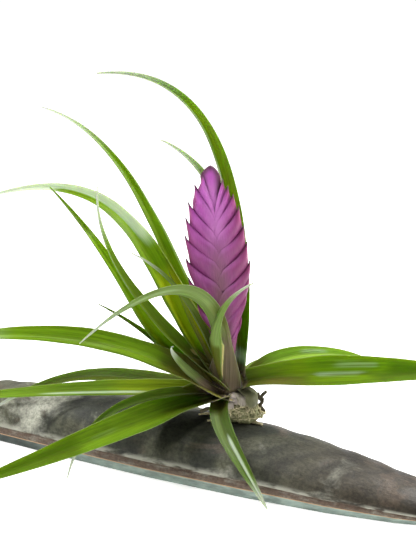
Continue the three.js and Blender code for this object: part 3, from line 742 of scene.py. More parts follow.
def spathe_section(x):
    """Half of the outer section, from the foot of the rim to the crest, and each point's belt.

    The belt runs from 0 to 1 over the lip and from 1 to 2 over the arch.
    """
    half, high = spathe_size(x)
    size = min(1.0, high / SPATHE_FULL)
    lip = np.array(SPATHE_LIP)
    points = np.stack([half + lip[:, 0] * size, lip[:, 1] * size], axis=1)
    belts = np.linspace(0.0, 1.0, len(lip))
    turns = np.linspace(0.0, math.pi / 2, SPATHE_ARCH // 2 + 1)[1:]
    shoulder, top = half - 0.7 * size, lip[-1, 1] * size
    arch = np.stack([shoulder * np.cos(turns), mix(top, high, np.sin(turns) ** 0.95)], axis=1)
    return (np.concatenate([points, arch]),
            np.concatenate([belts, 1.0 + np.linspace(0.0, 1.0, len(turns) + 1)[1:]]))


def hollow_section(x, count):
    """Half of the hollow below, with as many points."""
    half, high = spathe_size(x)
    size = min(1.0, high / SPATHE_FULL)
    room = half + SPATHE_LIP[0][0] * size - min(SPATHE_WALL, half * 0.4)
    rise = max(0.0, (high - SPATHE_WALL) * float(ease(high, *SPATHE_ENDS)))
    turns = np.linspace(0.0, math.pi / 2, count)
    return np.stack([room * np.cos(turns), rise * np.sin(turns)], axis=1)


def spathe_top(x, y):
    """Height of the outer face over a place on the floor."""
    points, _ = spathe_section(x)
    arch = points[len(SPATHE_LIP):]
    return float(np.interp(abs(y), arch[::-1, 0], arch[::-1, 1]))


def both_sides(half):
    """A half section with its mirror image, from one foot over the crest to the other."""
    return np.concatenate([half * [-1, 1], half[-2::-1]])


def spathe_rings():
    """Rings of the smooth shell, with each point's belt and face.

    A ring runs over the outside, whose face is 1, and back through the hollow, whose face is 0.
    """
    share = np.linspace(0.0, 1.0, SPATHE_ALONG + 1)
    share = mix(share, 0.5 - 0.5 * np.cos(np.pi * share), SPATHE_CROWDING)
    rings, belts, faces = [], [], []
    for x in mix(SPATHE_STATIONS[0][0], SPATHE_STATIONS[-1][0], share):
        outer, belt = spathe_section(x)
        over = both_sides(outer)
        under = both_sides(hollow_section(x, len(outer)))[::-1]
        rings.append(np.column_stack([np.full(2 * len(over), x), np.concatenate([over, under])]))
        belts.append(np.concatenate([belt, belt[-2::-1], np.zeros(len(under))]))
        faces.append(np.concatenate([np.ones(len(over)), np.zeros(len(under))]))
    return np.array(rings), np.array(belts), np.array(faces)


def fold_noise(rings):
    """Noise drawn out along lines that slant down the spathe's sides."""
    x, y, z = rings[..., 0], rings[..., 1], rings[..., 2]
    along = x + 0.9 * np.abs(y)
    where = np.stack([along / 13.0, np.sign(y) * 3.0 + z / 60.0, np.abs(y) / 46.0], axis=-1)
    return soft_noise(where, 1.0, 21.0)


def outward_of(rings):
    """Unit vectors out of the spathe's length, from a little below its rims."""
    flat = np.zeros(rings.shape[:2] + (1,))
    return np.concatenate([flat, unit(rings[..., 1:] + [0.0, 9.0])], axis=-1)


def stain(rings, spots):
    """How far the strongest of some soft slanting ovals marks each point, from 0 to 1."""
    marks = []
    for middle, radii, slant, strength in spots:
        y = rings[..., 1] - middle[1]
        x = rings[..., 0] - middle[0] - slant * y
        marks.append(strength * np.exp(-(x / radii[0]) ** 2 - (y / radii[1]) ** 2))
    return np.max(marks, axis=0)


def spathe_mesh(settings):
    """The spathe's shell with its folds, lumps and uneven lip."""
    rings, belts, faces = spathe_rings()
    first, last = SPATHE_STATIONS[0][0], SPATHE_STATIONS[-1][0]
    middle = (ease(rings[..., 0], first, first + SPATHE_SMOOTH_END)
              * (1.0 - ease(rings[..., 0], last - SPATHE_SMOOTH_END, last)))
    arch = ease(belts, 0.95, 1.25) * faces
    lip = ease(belts, 0.45, 0.6) * (1.0 - ease(belts, 0.9, 1.0)) * faces * middle
    folds = fold_noise(rings)
    lumps = soft_noise(rings, 34.0, 5.0) * 0.9 + soft_noise(rings, 11.0, 9.0) * 0.35
    push = (folds * 0.9 + lumps * 0.6 - 0.25) * (settings.wrinkle / MM) * arch * middle
    lip_wave = soft_noise(rings * [1.0, 0.0, 0.0], 16.0, 3.0) * 0.5
    rings = rings + outward_of(rings) * (push + lip_wave * lip)[..., None]
    made = Sleeves()
    made.add(rings, belt=belts, face=faces, fold=folds, side=rings[..., 0],
             damp=stain(rings, SPATHE_PAINTED_SHADOW), bleach=stain(rings, SPATHE_BLEACH))
    return made.mesh("spathe_shell")


def spathe_skin(made, settings, patch, grain):
    """The arch's colour: grey with dark and silvery patches, browner towards +X, painted shade that
    darkens the +X part and the valleys of the folds, and painted shadow of the plant and its leaves,
    which is also less glossy.
    """
    fold, damp, bleach, side = made.given("fold", "damp", "bleach", "side")
    broad = made.noise(made.place(), 14.0, 4.0, 0.6, 0.6)
    colour = made.blend(made.span(broad, 0.4, 0.58), settings.dark, settings.grey)
    colour = made.blend(made.times(made.span(side, 30.0, 120.0), 0.5), colour, settings.brown)
    # Painted shade: darker towards +X, where the face turns from the light.
    colour = made.dim(colour, made.span(side, -20.0, 110.0, 0.9, 0.45))
    worn = made.span(made.plus(patch, made.times(bleach, 0.4)), 0.54, 0.75)
    # Silvery patches: more where bleached, and fewer towards +X as painted shade.
    shine = made.times(made.plus(0.6, made.times(bleach, 0.35)),
                       made.span(side, -20.0, 60.0, 1.0, 0.55))
    colour = made.blend(made.times(worn, shine), colour, settings.silver_and_sheen)
    colour = made.blend(made.times(made.span(patch, 0.42, 0.32), 0.4), colour, settings.brown)
    # Painted shadow of the plant and its leaves, with some darker patches; less glossy there, as if
    # damp.
    shadow_and_damp = made.span(made.plus(damp, made.times(patch, 0.5)), 0.45, 0.85)
    made.feed(made.shader.inputs["Specular IOR Level"], made.span(shadow_and_damp, 0.0, 1.0, 0.25, 0.03))
    colour = made.blend(shadow_and_damp, colour, made.dim(settings.dark, 0.5))
    colour = made.dim(colour, made.span(grain, 0.5, 1.0, 0.6, 1.4))
    # Painted shade: darker in the valleys of the folds.
    return made.dim(colour, made.span(fold, -0.5, 0.3, 0.6, 1.1))


def spathe_lip(made, settings, skin, fibre, speck):
    """The skin with what lies below it: a painted highlight along the lip's top edge, a brown lip, a
    tan seam and a band.
    """
    belt, side = made.given("belt", "side")
    lip = made.blend(made.span(fibre, 0.45, 0.75, 0.0, 0.4), settings.brown, settings.silver_and_sheen)
    lip = made.dim(lip, made.span(speck, 0.3, 0.7, 0.7, 1.25))
    colour = made.blend(made.span(belt, 1.03, 0.97), skin, lip)
    # Painted highlight: a broken pale line along the top of the lip.
    edge = made.times(made.span(belt, 1.1, 1.0), made.span(belt, 0.9, 0.97))
    chips = made.noise(made.place(), 130.0, 3.0, 0.6, stretch=SPATHE_FIBRE)
    lip_highlight = made.times(edge, made.span(chips, 0.4, 0.56))
    colour = made.blend(made.times(lip_highlight, 0.7), colour, made.dim(settings.silver_and_sheen, 1.15))
    band = made.dim(settings.band, made.span(fibre, 0.3, 0.7, 0.75, 1.3))
    band = made.dim(band, made.span(side, -190.0, -60.0, 0.6, 2.7))
    colour = made.blend(made.span(belt, 0.42, 0.36), colour, band)
    seam = made.times(made.span(belt, 0.56, 0.52), made.span(belt, 0.38, 0.42))
    return made.blend(made.times(seam, 0.9), colour, settings.seam)


def spathe_finish(settings):
    """Weathered wood, with a plain brown hollow."""
    made = Finish("spathe_bark")
    place = made.place()
    patch = made.noise(place, 30.0, 5.0, 0.6, 0.9, stretch=(0.8, 1.2, 1.2))
    speck = made.noise(place, 420.0, 4.0, 0.7)
    fibre = made.noise(place, 260.0, 3.0, 0.6, stretch=SPATHE_FIBRE)
    skin = spathe_skin(made, settings, patch, made.plus(made.times(fibre, 0.5), speck))
    outside = spathe_lip(made, settings, skin, fibre, speck)
    inside = made.dim(settings.brown, made.span(fibre, 0.3, 0.7, 0.5, 1.1))
    colour = made.blend(*made.given("face"), inside, outside)
    fine = made.plus(made.times(fibre, 0.3), made.times(speck, 0.25))
    height = made.plus(made.times(patch, 0.8), fine)
    return made.wear(colour, made.span(patch, 0.35, 0.75, 0.5, 0.72), made.relief(height, 1.2))


class QUILL_OT_spathe(bpy.types.Operator):
    """Build the dried palm spathe that carries the plant"""

    bl_idname = "quill.spathe"
    bl_label = "Palm Spathe"

    def execute(self, context):
        settings = context.scene.quill_spathe
        make_piece("spathe_shell", spathe_mesh(settings), spathe_finish(settings), "spathe", "spathe")
        return {"FINISHED"}


# ---- stem and roots ------------------------------------------------------------------


def stem_rings():
    """Rings of the stem, thickest where the leaves leave it."""
    heights = np.linspace(STEM["bottom"], STEM["top"], STEM_ALONG)
    stops = [STEM[key] for key in ("bottom", "widest", "shoulder", "neck", "top")]
    radii = np.interp(heights, stops, [STEM["root_r"] * 0.8, STEM["root_r"],
                                       STEM["root_r"] * 0.85, STEM["top_r"], STEM["top_r"]])
    return tube(np.array([on_axis(h) for h in heights]), radii, STEM_SIDES)


def torn_edge(side, seed):
    """How much longer or shorter an old leaf base is across its torn end."""
    coarse, fine = (soft_noise(np.stack([side * lumps, 0.0 * side + seed, 0.0 * side], -1), 1.0)
                    for lumps in (2.6, 9.0))
    return coarse * 0.28 + fine * 0.08


def old_base_rings(turn, reach, top, bottom, width, seed):
    """An old leaf base: a torn scale that leaves the stem and hangs over the root clump."""
    side = np.linspace(-1.0, 1.0, OLD_BASE["across"])[None, :]
    s = np.linspace(0.0, 1.0, OLD_BASE["rows"])[:, None]
    run = s * (1.0 + torn_edge(side, seed) - 0.22 * np.abs(side) ** 3)
    out = mix(STEM["root_r"] * 0.8, reach, ease(run, 0.0, 0.5)) - 1.6 * ease(run, 0.75, 1.1)
    high = mix(top, bottom, ease(run, 0.12, 1.15) + 0.05 * run)
    wave = soft_noise(np.stack([side * 1.5 + 0.0 * run, run * 1.6, 0.0 * run + seed], -1), 1.0)
    spread = side * width / 2.0 * mix(0.55, 1.0, ease(run, 0.0, 0.4))
    drop = spread ** 2 / OLD_BASE["curl"] / 2.0
    thick = mix(OLD_BASE["thick"], OLD_BASE["edge"], s) * (1.0 - 0.5 * np.abs(side) ** 3)
    base = np.array([on_axis(h) for h in high.reshape(-1)]).reshape(high.shape + (3,))
    base = base + heading(turn + 90.0) * (spread + 0.0 * out)[..., None]
    outer, inner = (base + heading(turn) * (out - drop + 0.9 * wave - inset)[..., None]
                    for inset in (0.0 * s, thick))
    return np.concatenate([outer, inner[:, ::-1]], axis=1)


def stem_mesh():
    """The stem with its old leaf bases."""
    made = Sleeves()
    made.add(stem_rings(), up=0.2, grain=0.0, olive=0.3)
    for seed, (turn, reach, top, bottom, width, olive) in enumerate(OLD_BASES):
        rings = old_base_rings(turn, reach, top, bottom, width, seed * 1.7 + 0.4)
        grain = np.concatenate([np.linspace(-1, 1, OLD_BASE["across"])] * 2)[None, :]
        made.add(rings, up=np.linspace(0.0, 1.0, OLD_BASE["rows"])[:, None],
                 grain=grain * width + 20.0 * seed, olive=olive)
    return made.mesh("stem_and_old_bases")


def husk_finish(settings):
    """Dry papery leaf bases, mauve-grey to olive, with fine length-wise veins, darker towards the
    stem as painted shade.
    """
    made = Finish("old_leaf_base", {"Specular IOR Level": 0.3})
    up, grain, olive = made.given("up", "grain", "olive")
    place = made.place()
    veins = made.noise(made.vector(grain, made.times(up, 0.8), 0.0), 2.2, 3.0, 0.6)
    cloud = made.noise(place, 130.0, 4.0, 0.6)
    share = made.plus(olive, made.times(made.less(cloud, 0.5), 1.2))
    colour = made.blend(made.span(share, 0.15, 0.85), settings.husk, settings.olive)
    colour = made.blend(made.times(made.span(up, 0.8, 1.0), 0.6), colour, settings.tan)
    # Painted shade: darker where the bases leave the stem, and on the stem.
    colour = made.dim(colour, made.span(up, 0.0, 0.45, 0.3, 1.0))
    colour = made.dim(colour, made.span(olive, 0.6, 0.9, 1.0, 0.62))
    colour = made.dim(colour, made.span(veins, 0.3, 0.7, 0.65, 1.25))
    return made.wear(colour, made.span(cloud, 0.3, 0.7, 0.55, 0.75), made.relief(veins, 0.35))


class QUILL_OT_stem(bpy.types.Operator):
    """Build the short stem with its old leaf bases"""

    bl_idname = "quill.stem"
    bl_label = "Stem and Old Leaf Bases"

    def execute(self, context):
        finish = husk_finish(context.scene.quill_root)
        make_piece("stem_and_old_bases", stem_mesh(), finish, "stem", "stem")
        return {"FINISHED"}


def clump_radius(direction):
    """How far the clump's lumpy core reaches along unit directions, as a share of its radii."""
    lumps = soft_noise(direction, 0.42, 2.0) * 0.26 + soft_noise(direction, 0.16, 4.0) * 0.12
    return 0.93 + lumps


def clump_core():
    """Rings of the lumpy core, from its foot to its top."""
    rises = np.linspace(-math.pi / 2, math.pi / 2, CLUMP_ROWS)[1:-1]
    turns = np.linspace(0.0, 2.0 * math.pi, CLUMP_AROUND, endpoint=False)
    rise, turn = np.meshgrid(rises, turns, indexing="ij")
    ways = np.stack([np.cos(rise) * np.cos(turn), np.cos(rise) * np.sin(turn), np.sin(rise)], -1)
    reach = clump_radius(ways)[..., None]
    radii = np.array([CLUMP["length"] / 2, CLUMP["depth"] / 2, CLUMP["height"]])
    centre = np.array([CLUMP["x"], CLUMP["y"], CLUMP["middle"]])
    rings = centre + ways * radii * reach
    rings[..., 2] = np.minimum(rings[..., 2], CLUMP["top"] - 0.4)
    return rings


def winding_root(dice, creep):
    """A root that winds down over the clump and ends on the spathe's face."""
    turn = dice.uniform(0.0, 360.0)
    swing = dice.uniform(-STRAND["swing"], STRAND["swing"])
    start = dice.uniform(*STRAND["starts"])
    path = []
    for t in np.linspace(0.0, 1.0, 26):
        way = heading(turn + swing * t + 14.0 * math.sin(9.0 * t + turn))
        out = mix(start, 1.0 + creep, t)
        inside = min(out, 1.0)
        reach = np.array([CLUMP["length"] / 2, CLUMP["depth"] / 2, 0.0]) * way * out
        x, y = CLUMP["x"] + reach[0], CLUMP["y"] + reach[1]
        over = CLUMP["middle"] + CLUMP["height"] * math.sqrt(max(0.0, 1.0 - inside * inside)) * 0.98
        z = max(min(over, CLUMP["top"]), spathe_top(x, y) + 0.4)
        path.append((x, y, z + 0.5 * math.sin(17.0 * t + turn)))
    return smooth_line(path, ROOT_STEPS)


def creeping_root(turn, length, bend):
    """A root that leaves the clump and creeps over the spathe's face."""
    path = []
    for t in np.linspace(0.0, 1.0, 9):
        way = heading(turn + bend * t)
        x, y = CLUMP["x"] + way[0] * length * t, CLUMP["y"] + way[1] * length * t
        lift = mix(6.0, 0.7, float(ease(t, 0.0, 0.6))) + 0.3 * math.sin(7.0 * t + turn)
        path.append((x, y, spathe_top(x, y) + lift))
    return smooth_line(path, ROOT_STEPS)


def root_rings(path, radius, tip, seed):
    """A root along a path: uneven, thinner towards its far end."""
    share = np.linspace(0.0, 1.0, len(path))
    knots = soft_noise(path, 4.0, seed) * 0.22 + soft_noise(path, 1.6, seed) * 0.12
    return tube(path, mix(radius, tip, share) * (1.0 + knots), ROOT_SIDES)


def root_mesh(settings):
    """The clump's core, the strands wound over it, and the creeping and wiry roots."""
    dice = random.Random(7)
    made = Sleeves()
    made.add(clump_core(), run=0.0, wire=0.0, tint=0.2)

    def lay(path, radii, seed, run_from, wire, tint):
        """Add one root, with where its fine rings start, how wiry it is and its tint."""
        run = np.linspace(0.0, 60.0, len(path))[:, None] + run_from
        made.add(root_rings(path, *radii, seed), run=run, wire=wire, tint=tint)

    for k in range(settings.strands):
        path = winding_root(dice, dice.choice(STRAND["creeps"]))
        radius = dice.uniform(STRAND["thin"], STRAND["thick"])
        lay(path, (radius, radius * STRAND["tip"]), k, 100.0 * k, 0.0, dice.uniform(0.1, 1.0))
    for k, root in enumerate(CREEPING_ROOTS):
        lay(creeping_root(*root), CREEPING_RADII, k + 50, 31.0 * k, 0.15, 0.7)
    for k, points in enumerate(WIRY_ROOTS):
        path = smooth_line(points, ROOT_STEPS)
        path = path + 0.5 * np.stack([soft_noise(path, 5.0, s) for s in (1.0, 2.0, 3.0)], axis=-1)
        lay(path, WIRY_RADII, k + 80, 43.0 * k, 1.0, 0.3)
    return made.mesh("root_mass")


def root_finish(settings):
    """Dry roots, tan over olive, with darker wiry ones."""
    made = Finish("dry_roots", {"Specular IOR Level": 0.25})
    run, wire, tint = made.given("run", "wire", "tint")
    place = made.place()
    cloud = made.noise(place, 120.0, 4.0, 0.6, 0.8)
    grit = made.noise(place, 900.0, 3.0, 0.7)
    dry = made.span(made.plus(made.times(cloud, 0.9), made.times(tint, 0.4)), 0.45, 0.85)
    colour = made.blend(dry, settings.olive, settings.tan)
    colour = made.dim(colour, made.span(grit, 0.3, 0.7, 0.7, 1.25))
    colour = made.blend(wire, colour, settings.wire)
    rings = made.noise(made.vector(run, 0.0), 1.2, 2.0)
    height = made.plus(made.times(grit, 0.4), made.times(rings, 0.6))
    return made.wear(colour, made.span(cloud, 0.3, 0.7, 0.7, 0.95), made.relief(height, 0.5))


class QUILL_OT_roots(bpy.types.Operator):
    """Build the root clump with its creeping and wiry roots"""

    bl_idname = "quill.roots"
    bl_label = "Root Clump"

    def execute(self, context):
        settings = context.scene.quill_root
        make_piece("root_mass", root_mesh(settings), root_finish(settings), "roots", "root_clump")
        return {"FINISHED"}


# ---- flower head ---------------------------------------------------------------------

HEAD_FOOT = on_axis(HEAD["foot"])
HEAD_UP = unit(on_axis(1.0, LEAN_HEAD) - ROSETTE)
HEAD_FRONT = heading(HEAD["facing"])
HEAD_SIDE = heading(HEAD["facing"] + 90.0)


def head_outline(up):
    """Half width of the head and the place of its midline, at a height."""
    table = np.array(HEAD_OUTLINE, float)
    return np.interp(up, table[:, 0], table[:, 1]), np.interp(up, table[:, 0], table[:, 2])


def on_head(out, up, front):
    """A point of the head: out from its midline, up its length, and out of its flat face."""
    out = out + head_outline(up)[1]
    return (HEAD_FOOT + out[..., None] * HEAD_SIDE + up[..., None] * HEAD_UP
            + front[..., None] * HEAD_FRONT)


def youth(up):
    """0 for the lower, toothed bracts to 1 for the smooth young ones at the top."""
    return ease(up, YOUNG_FROM, YOUNG_BY)


def margin_fall(order, share):
    """How far below its tip a bract's margin lies, at a share of the way to the midline."""
    up, _, drop = BRACT_TIPS[order]
    return min(drop, up) * share ** mix(0.66, 0.95, float(youth(up)))


def margin_dive(share):
    """How much further the margin falls where it clasps the head's middle."""
    return BRACT["steep"] * np.clip(share - 0.85, 0.0, None) ** 1.5


def margin_height(order, x):
    """Height of a bract's margin over a place across the head, or far below past its end."""
    up, out, _ = BRACT_TIPS[order]
    share = np.clip(1.0 - x / out, 0.0, None)
    height = up - margin_fall(order, share) - margin_dive(share)
    return np.where(share <= 1.0 + BRACT["clasp"], height, FAR_BELOW)


def margins_below(order, x):
    """The highest margin, over a place, of the bracts that lie over this one."""
    highest = np.full(x.shape, FAR_BELOW)
    for below in range(order):
        highest = np.maximum(highest, margin_height(below, x))
    return highest


def head_face(x, up, half):
    """How far the head's smooth body reaches out of its flat middle plane."""
    swell = HEAD["thick"] * (1.0 - 0.4 * (up / HEAD["length"]) ** 2)
    side = np.clip(1.0 - np.abs(x) / np.maximum(half, 0.1), 0.0, 1.0)
    return swell * np.sin(np.minimum(side / 0.85, 1.0) * math.pi / 2) ** 0.85


def head_values(x, z, under, rim, tip, keel):
    """What the bracts' finish reads at each point."""
    # Painted shade just above the margin of each bract that lies over this place, fainter near the
    # midline and high up.
    crease_shade = np.exp(-np.clip(z - under, 0.0, None) / 6.0)
    crease_shade = crease_shade * mix(0.25, 1.0, ease(np.abs(x), 5.0, 17.0))
    crease_shade = crease_shade * (1.0 - 0.5 * ease(z, 85.0, 112.0))
    return dict(crease_shade=crease_shade, rim=rim, tip=tip, keel=keel, rise=z / HEAD["length"],
                aside=x / HEAD["half"])


def two_faced(outer, inner):
    """Rings that run over a bract's outside, front and back, and return along its inside."""
    over, under = (np.concatenate([front[:, ::-1], back[:, 1:]], axis=1)
                   for front, back in (outer, inner))
    return np.concatenate([over, under[:, ::-1]], axis=1)


def shown_height(order):
    """How much of a bract shows between its own margin and the one below on its side."""
    up, out, _ = BRACT_TIPS[order]
    same = [tip[0] for tip in BRACT_TIPS[:order] if tip[1] * out > 0]
    return min(BRACT_SPACING, up - same[-1]) if same else BRACT_SPACING


def bract_stand(order, x, z, out, keel):
    """How far a bract's face stands off the head's smooth body."""
    up = BRACT_TIPS[order][0]
    shown = shown_height(order)
    down = up - margin_fall(order, np.clip(1.0 - x / out, 0.0, 1.0)) - z
    s = down / shown
    lift = mix(BRACT_STEP, YOUNG_STEP, youth(up))
    stand = lift * (1.0 - s) + BRACT_BULGE * shown * s * (1.0 - s)
    stand = mix(lift - 0.03 * down, stand, ease(np.abs(x) / keel, 0.15, 0.55))
    return np.clip(stand, -1.0, None)


def bract_rings(order, shell):
    """A keeled bract: a boat-shaped shell whose margins lie over the bracts above it."""
    up, out, _ = BRACT_TIPS[order]
    side, out = math.copysign(1.0, out), abs(out)
    reach = np.linspace(0.0, 1.0, BRACT_ACROSS // 2 + 1)[None, :] ** 1.25
    rows = np.linspace(0.0, 1.0, BRACT_ALONG + 1)[:, None]
    share = reach * (1.0 + BRACT["clasp"])
    top_z = up - margin_fall(order, share) - margin_dive(share)
    z = mix(np.minimum(up - min(BRACT["length"], up), top_z - 5.0), top_z, rows)
    keel = head_outline(z)[0] * mix(mix(0.96, 0.84, youth(up)), 1.0, rows ** 1.5)
    keel = mix(keel, out, ease(z, up - 6.0, up))
    x = mix(mix(keel, -keel * BRACT["clasp"], reach), out * (1.0 - share), ease(rows, 0.35, 1.0))
    stand = bract_stand(order, x, z, out, keel)
    face = head_face(x, z, keel) + stand * np.minimum(reach / 0.08, 1.0) ** 0.5
    face = np.maximum(face, 0.05)
    inset = side * (x - 1.6 * shell * (1.0 - reach))
    inner = np.maximum(face - shell, 0.02)
    rings = two_faced(*(
        [on_head(places, height, push * way) for way in (1.0, -1.0)]
        for places, height, push in ((side * x, z, face), (inset, z - 0.1, inner))
    ))
    rim = np.broadcast_to((1.0 - rows) * (up - z[0]), x.shape)
    under = margins_below(order, side * x)
    values = head_values(side * x, z, under, rim, np.hypot(x - out, z - up), reach)
    return rings, {key: two_faced(*[[np.broadcast_to(value, x.shape)] * 2] * 2)
                   for key, value in values.items()}


def bud_rings():
    """The closed bud that fills the head and shows as the dome at its top."""
    z = HEAD["length"] * np.linspace(0.0, 1.0, BUD_ALONG)[:, None] ** 0.6
    across = np.cos(np.linspace(0.0, math.pi, BUD_ACROSS))[None, :]
    half = np.minimum(head_outline(z)[0] * 0.95, mix(*BUD_HALF, ease(z, *BUD_NARROWS)))
    x = half * across
    z = z + 0.0 * x
    face = head_face(x, z, half) * mix(0.72, 0.3, ease(z, 118.0, HEAD["length"]) ** 2)
    rings = np.concatenate([on_head(x, z, face), on_head(-x, z, -face)], axis=1)
    edge = half * (1.0 - np.abs(across))
    top = np.minimum(edge, HEAD["length"] - z)
    values = head_values(x, z, margins_below(len(BRACT_TIPS), x), top + 0.5, top * 0.8 + 0.8,
                         1.0 - np.abs(across) + 0.0 * x)
    return rings, {key: np.concatenate([value, value[:, ::-1]], axis=1)
                   for key, value in values.items()}


def head_mesh(settings):
    """The bud with every bract over it."""
    made = Sleeves()
    rings, values = bud_rings()
    made.add(rings, **values)
    for order in range(len(BRACT_TIPS)):
        rings, values = bract_rings(order, settings.shell / MM)
        made.add(rings, **values)
    return made.mesh("flower_head_bracts")


def bract_colour(made, settings, cloud, veins):
    """A bract's face: darker and redder low down, redder on one side and darker there as painted
    shade, olive along the midline, with a painted highlight on the young bracts.
    """
    keel, rise, aside = made.given("keel", "rise", "aside")
    off_middle = made.magnitude(aside)
    colour = made.blend(made.span(rise, 0.45, 0.95), settings.face, settings.petal)
    # Redder on one side, and darker there as painted shade.
    colour = made.blend(made.times(made.span(aside, 0.05, 0.8), 0.75), colour, settings.flush)
    olive = made.times(made.span(off_middle, 0.42, 0.02), made.span(rise, 0.72, 0.3))
    colour = made.blend(made.times(olive, 0.8), colour, settings.olive)
    colour = made.blend(made.times(made.span(cloud, 0.5, 0.75), 0.5), colour, settings.flush)
    colour = made.blend(made.span(keel, 0.0, 0.16, 0.8, 0.0), colour, settings.flush)
    colour = made.dim(colour, made.span(veins, 0.3, 0.7, 0.86, 1.1))
    # Painted highlight near the midline of the young bracts.
    young = made.times(made.span(rise, 0.5, 0.68), made.span(rise, 0.98, 0.85))
    glow = made.times(made.span(off_middle, 0.4, 0.05), young)
    return made.blend(made.times(glow, made.span(cloud, 0.3, 0.6, 0.2, 0.6)), colour,
                      settings.glow)


def head_finish(settings):
    """Waxy bracts: orchid faces with a painted highlight, flushed keels, dark tips, and painted shade
    in the creases.
    """
    made = Finish("waxy_bract", BRACT_WAX)
    crease_shade, rim, tip, keel, rise = made.given("crease_shade", "rim", "tip", "keel", "rise")
    cloud = made.noise(made.place(), 75.0, 3.0, 0.55)
    veins = made.noise(made.vector(made.times(keel, 14.0), made.times(rise, 6.0)), 2.6, 3.0, 0.6)
    colour = bract_colour(made, settings, cloud, veins)
    # Painted highlight on each bract's face, a little below its margin.
    highlight_across = made.times(made.span(keel, 0.1, 0.3), made.span(keel, 0.95, 0.6))
    swell = made.times(made.span(rim, 9.0, 2.5), highlight_across)
    colour = made.blend(made.times(swell, 0.2), colour, settings.glow)
    old = made.span(rise, 0.6, 0.82, 1.0, 0.25)
    edge = made.times(made.span(rim, 1.6, 0.0), made.span(keel, 0.4, 0.1, 0.0, 0.35))
    colour = made.blend(made.times(edge, old), colour, settings.tip)
    # Painted shade in the creases.
    colour = made.blend(made.times(crease_shade, 0.58), colour, settings.crease_shade)
    colour = made.blend(made.times(made.span(tip, 6.0, 1.4), 0.92), colour, settings.tip)
    return made.wear(colour, made.span(cloud, 0.3, 0.7, 0.34, 0.5), made.relief(veins, 0.25))


class QUILL_OT_flower_head(bpy.types.Operator):
    """Build the flat flower head of two-ranked keeled bracts"""

    bl_idname = "quill.flower_head"
    bl_label = "Flower Head"

    def execute(self, context):
        settings = context.scene.quill_head
        make_piece("flower_head_bracts", head_mesh(settings), head_finish(settings), "bract",
                   "flower_head")
        return {"FINISHED"}


# ---- leaves --------------------------------------------------------------------------


def midrib(leaf, count):
    """Stations of a leaf: points, sides, normals of its upper face, shares, and its length."""
    turn, reach, height = leaf["root"]
    start = on_axis(height) + heading(turn) * reach
    handles = [on_axis(high) + heading(way) * reach for way, reach, high in leaf["via"]]
    points, length = bezier([start, *handles], count)
    tangents = unit(np.gradient(points, axis=0))
    sides = carried_sides(tangents, heading(turn + 90.0))
    share = np.linspace(0.0, 1.0, count + 1)
    rolled = ease(share, 0.0, LEAF["rolled_at"])
    roll = leaf["roll"] * mix(leaf.get("set", 0.0), 1.0, rolled)
    roll = roll + leaf.get("twist", 0.0) * (1.0 - rolled)
    sides = np.array([turned(s, t, r) for s, t, r in zip(sides, tangents, roll)])
    return points, sides, np.cross(tangents, sides), share, length


def blade_width(leaf, share):
    """A leaf's width at shares of its length."""
    full_at = leaf.get("full_at", LEAF["full_at"])
    low = leaf["width"] * mix(leaf["sheath"], 1.0, ease(share, 0.0, full_at))
    past = np.clip((share - full_at) / (1.0 - full_at), 0.0, 1.0)
    high = mix(leaf["width"], LEAF["tip_width"], past ** leaf["taper"])
    return np.where(share < full_at, low, high)


def strip_light(strips, reach, side):
    """How strongly a leaf's strips mark each point; in the silvery strips this is scales and painted
    sheen, and where negative, painted shade.
    """
    light = np.zeros(np.broadcast(reach, side).shape)
    for start, end, near, far, strength in strips:
        fade = 0.12 * (end - start) + 0.05
        along = ease(reach, start, start + fade)
        if end < 1.0:
            along = along * (1.0 - ease(reach, end - fade, end))
        across = (ease(side, near - STRIP_EDGE, near + STRIP_EDGE)
                  * (1.0 - ease(side, far - STRIP_EDGE, far + STRIP_EDGE)))
        light = light + strength * along * across
    return light


def margin_waves(across, share, length, seed):
    """Waves of a blade's two margins, from -1 to 1, that fade towards the midrib."""
    left, right = (
        soft_noise(np.stack([share * length / LEAF["wave_length"], 0 * share + k,
                             0 * share + seed], -1), 1.0)
        for k in (0.0, 7.0))
    return np.where(across < 0, left[:, None], right[:, None]) * np.abs(across) ** 2.5


def leaf_rings(leaf, across, width, stations, seed):
    """Rings of a channelled blade with thin, waved margins and a keel below the midrib."""
    points, sides, ups, share, length = stations
    t = share[:, None]
    valley = LEAF["valley"]
    bend = (np.sqrt(across ** 2 + valley ** 2) - valley) / (math.sqrt(1 + valley ** 2) - valley)
    flattened = ease(t, 0.0, LEAF["flat_at"])
    channel = width * mix(LEAF["root_channel"], LEAF["blade_channel"], flattened)
    channel = channel * leaf.get("channel", 1.0)
    sway = margin_waves(across, share, length, seed)
    rise = channel * bend + width * LEAF["wave"] * 2.0 * sway
    thick = mix(LEAF["rib"], LEAF["tip_thick"], t ** 0.7) * (1.0 - 0.75 * across ** 4)
    thick = np.maximum(thick, LEAF["edge_thin"]) * np.minimum(1.0, width / 1.5)
    keel = LEAF["keel"] * np.exp(-(across / 0.13) ** 2) * (1.0 - t) * np.minimum(1.0, width / 6.0)
    body = points[:, None] + sides[:, None] * (across * width / 2.0)[..., None]
    upper = body + ups[:, None] * (rise + thick / 2.0)[..., None]
    lower = body + ups[:, None] * (rise - thick / 2.0 - keel)[..., None]
    return np.concatenate([upper, lower[:, ::-1]], axis=1)


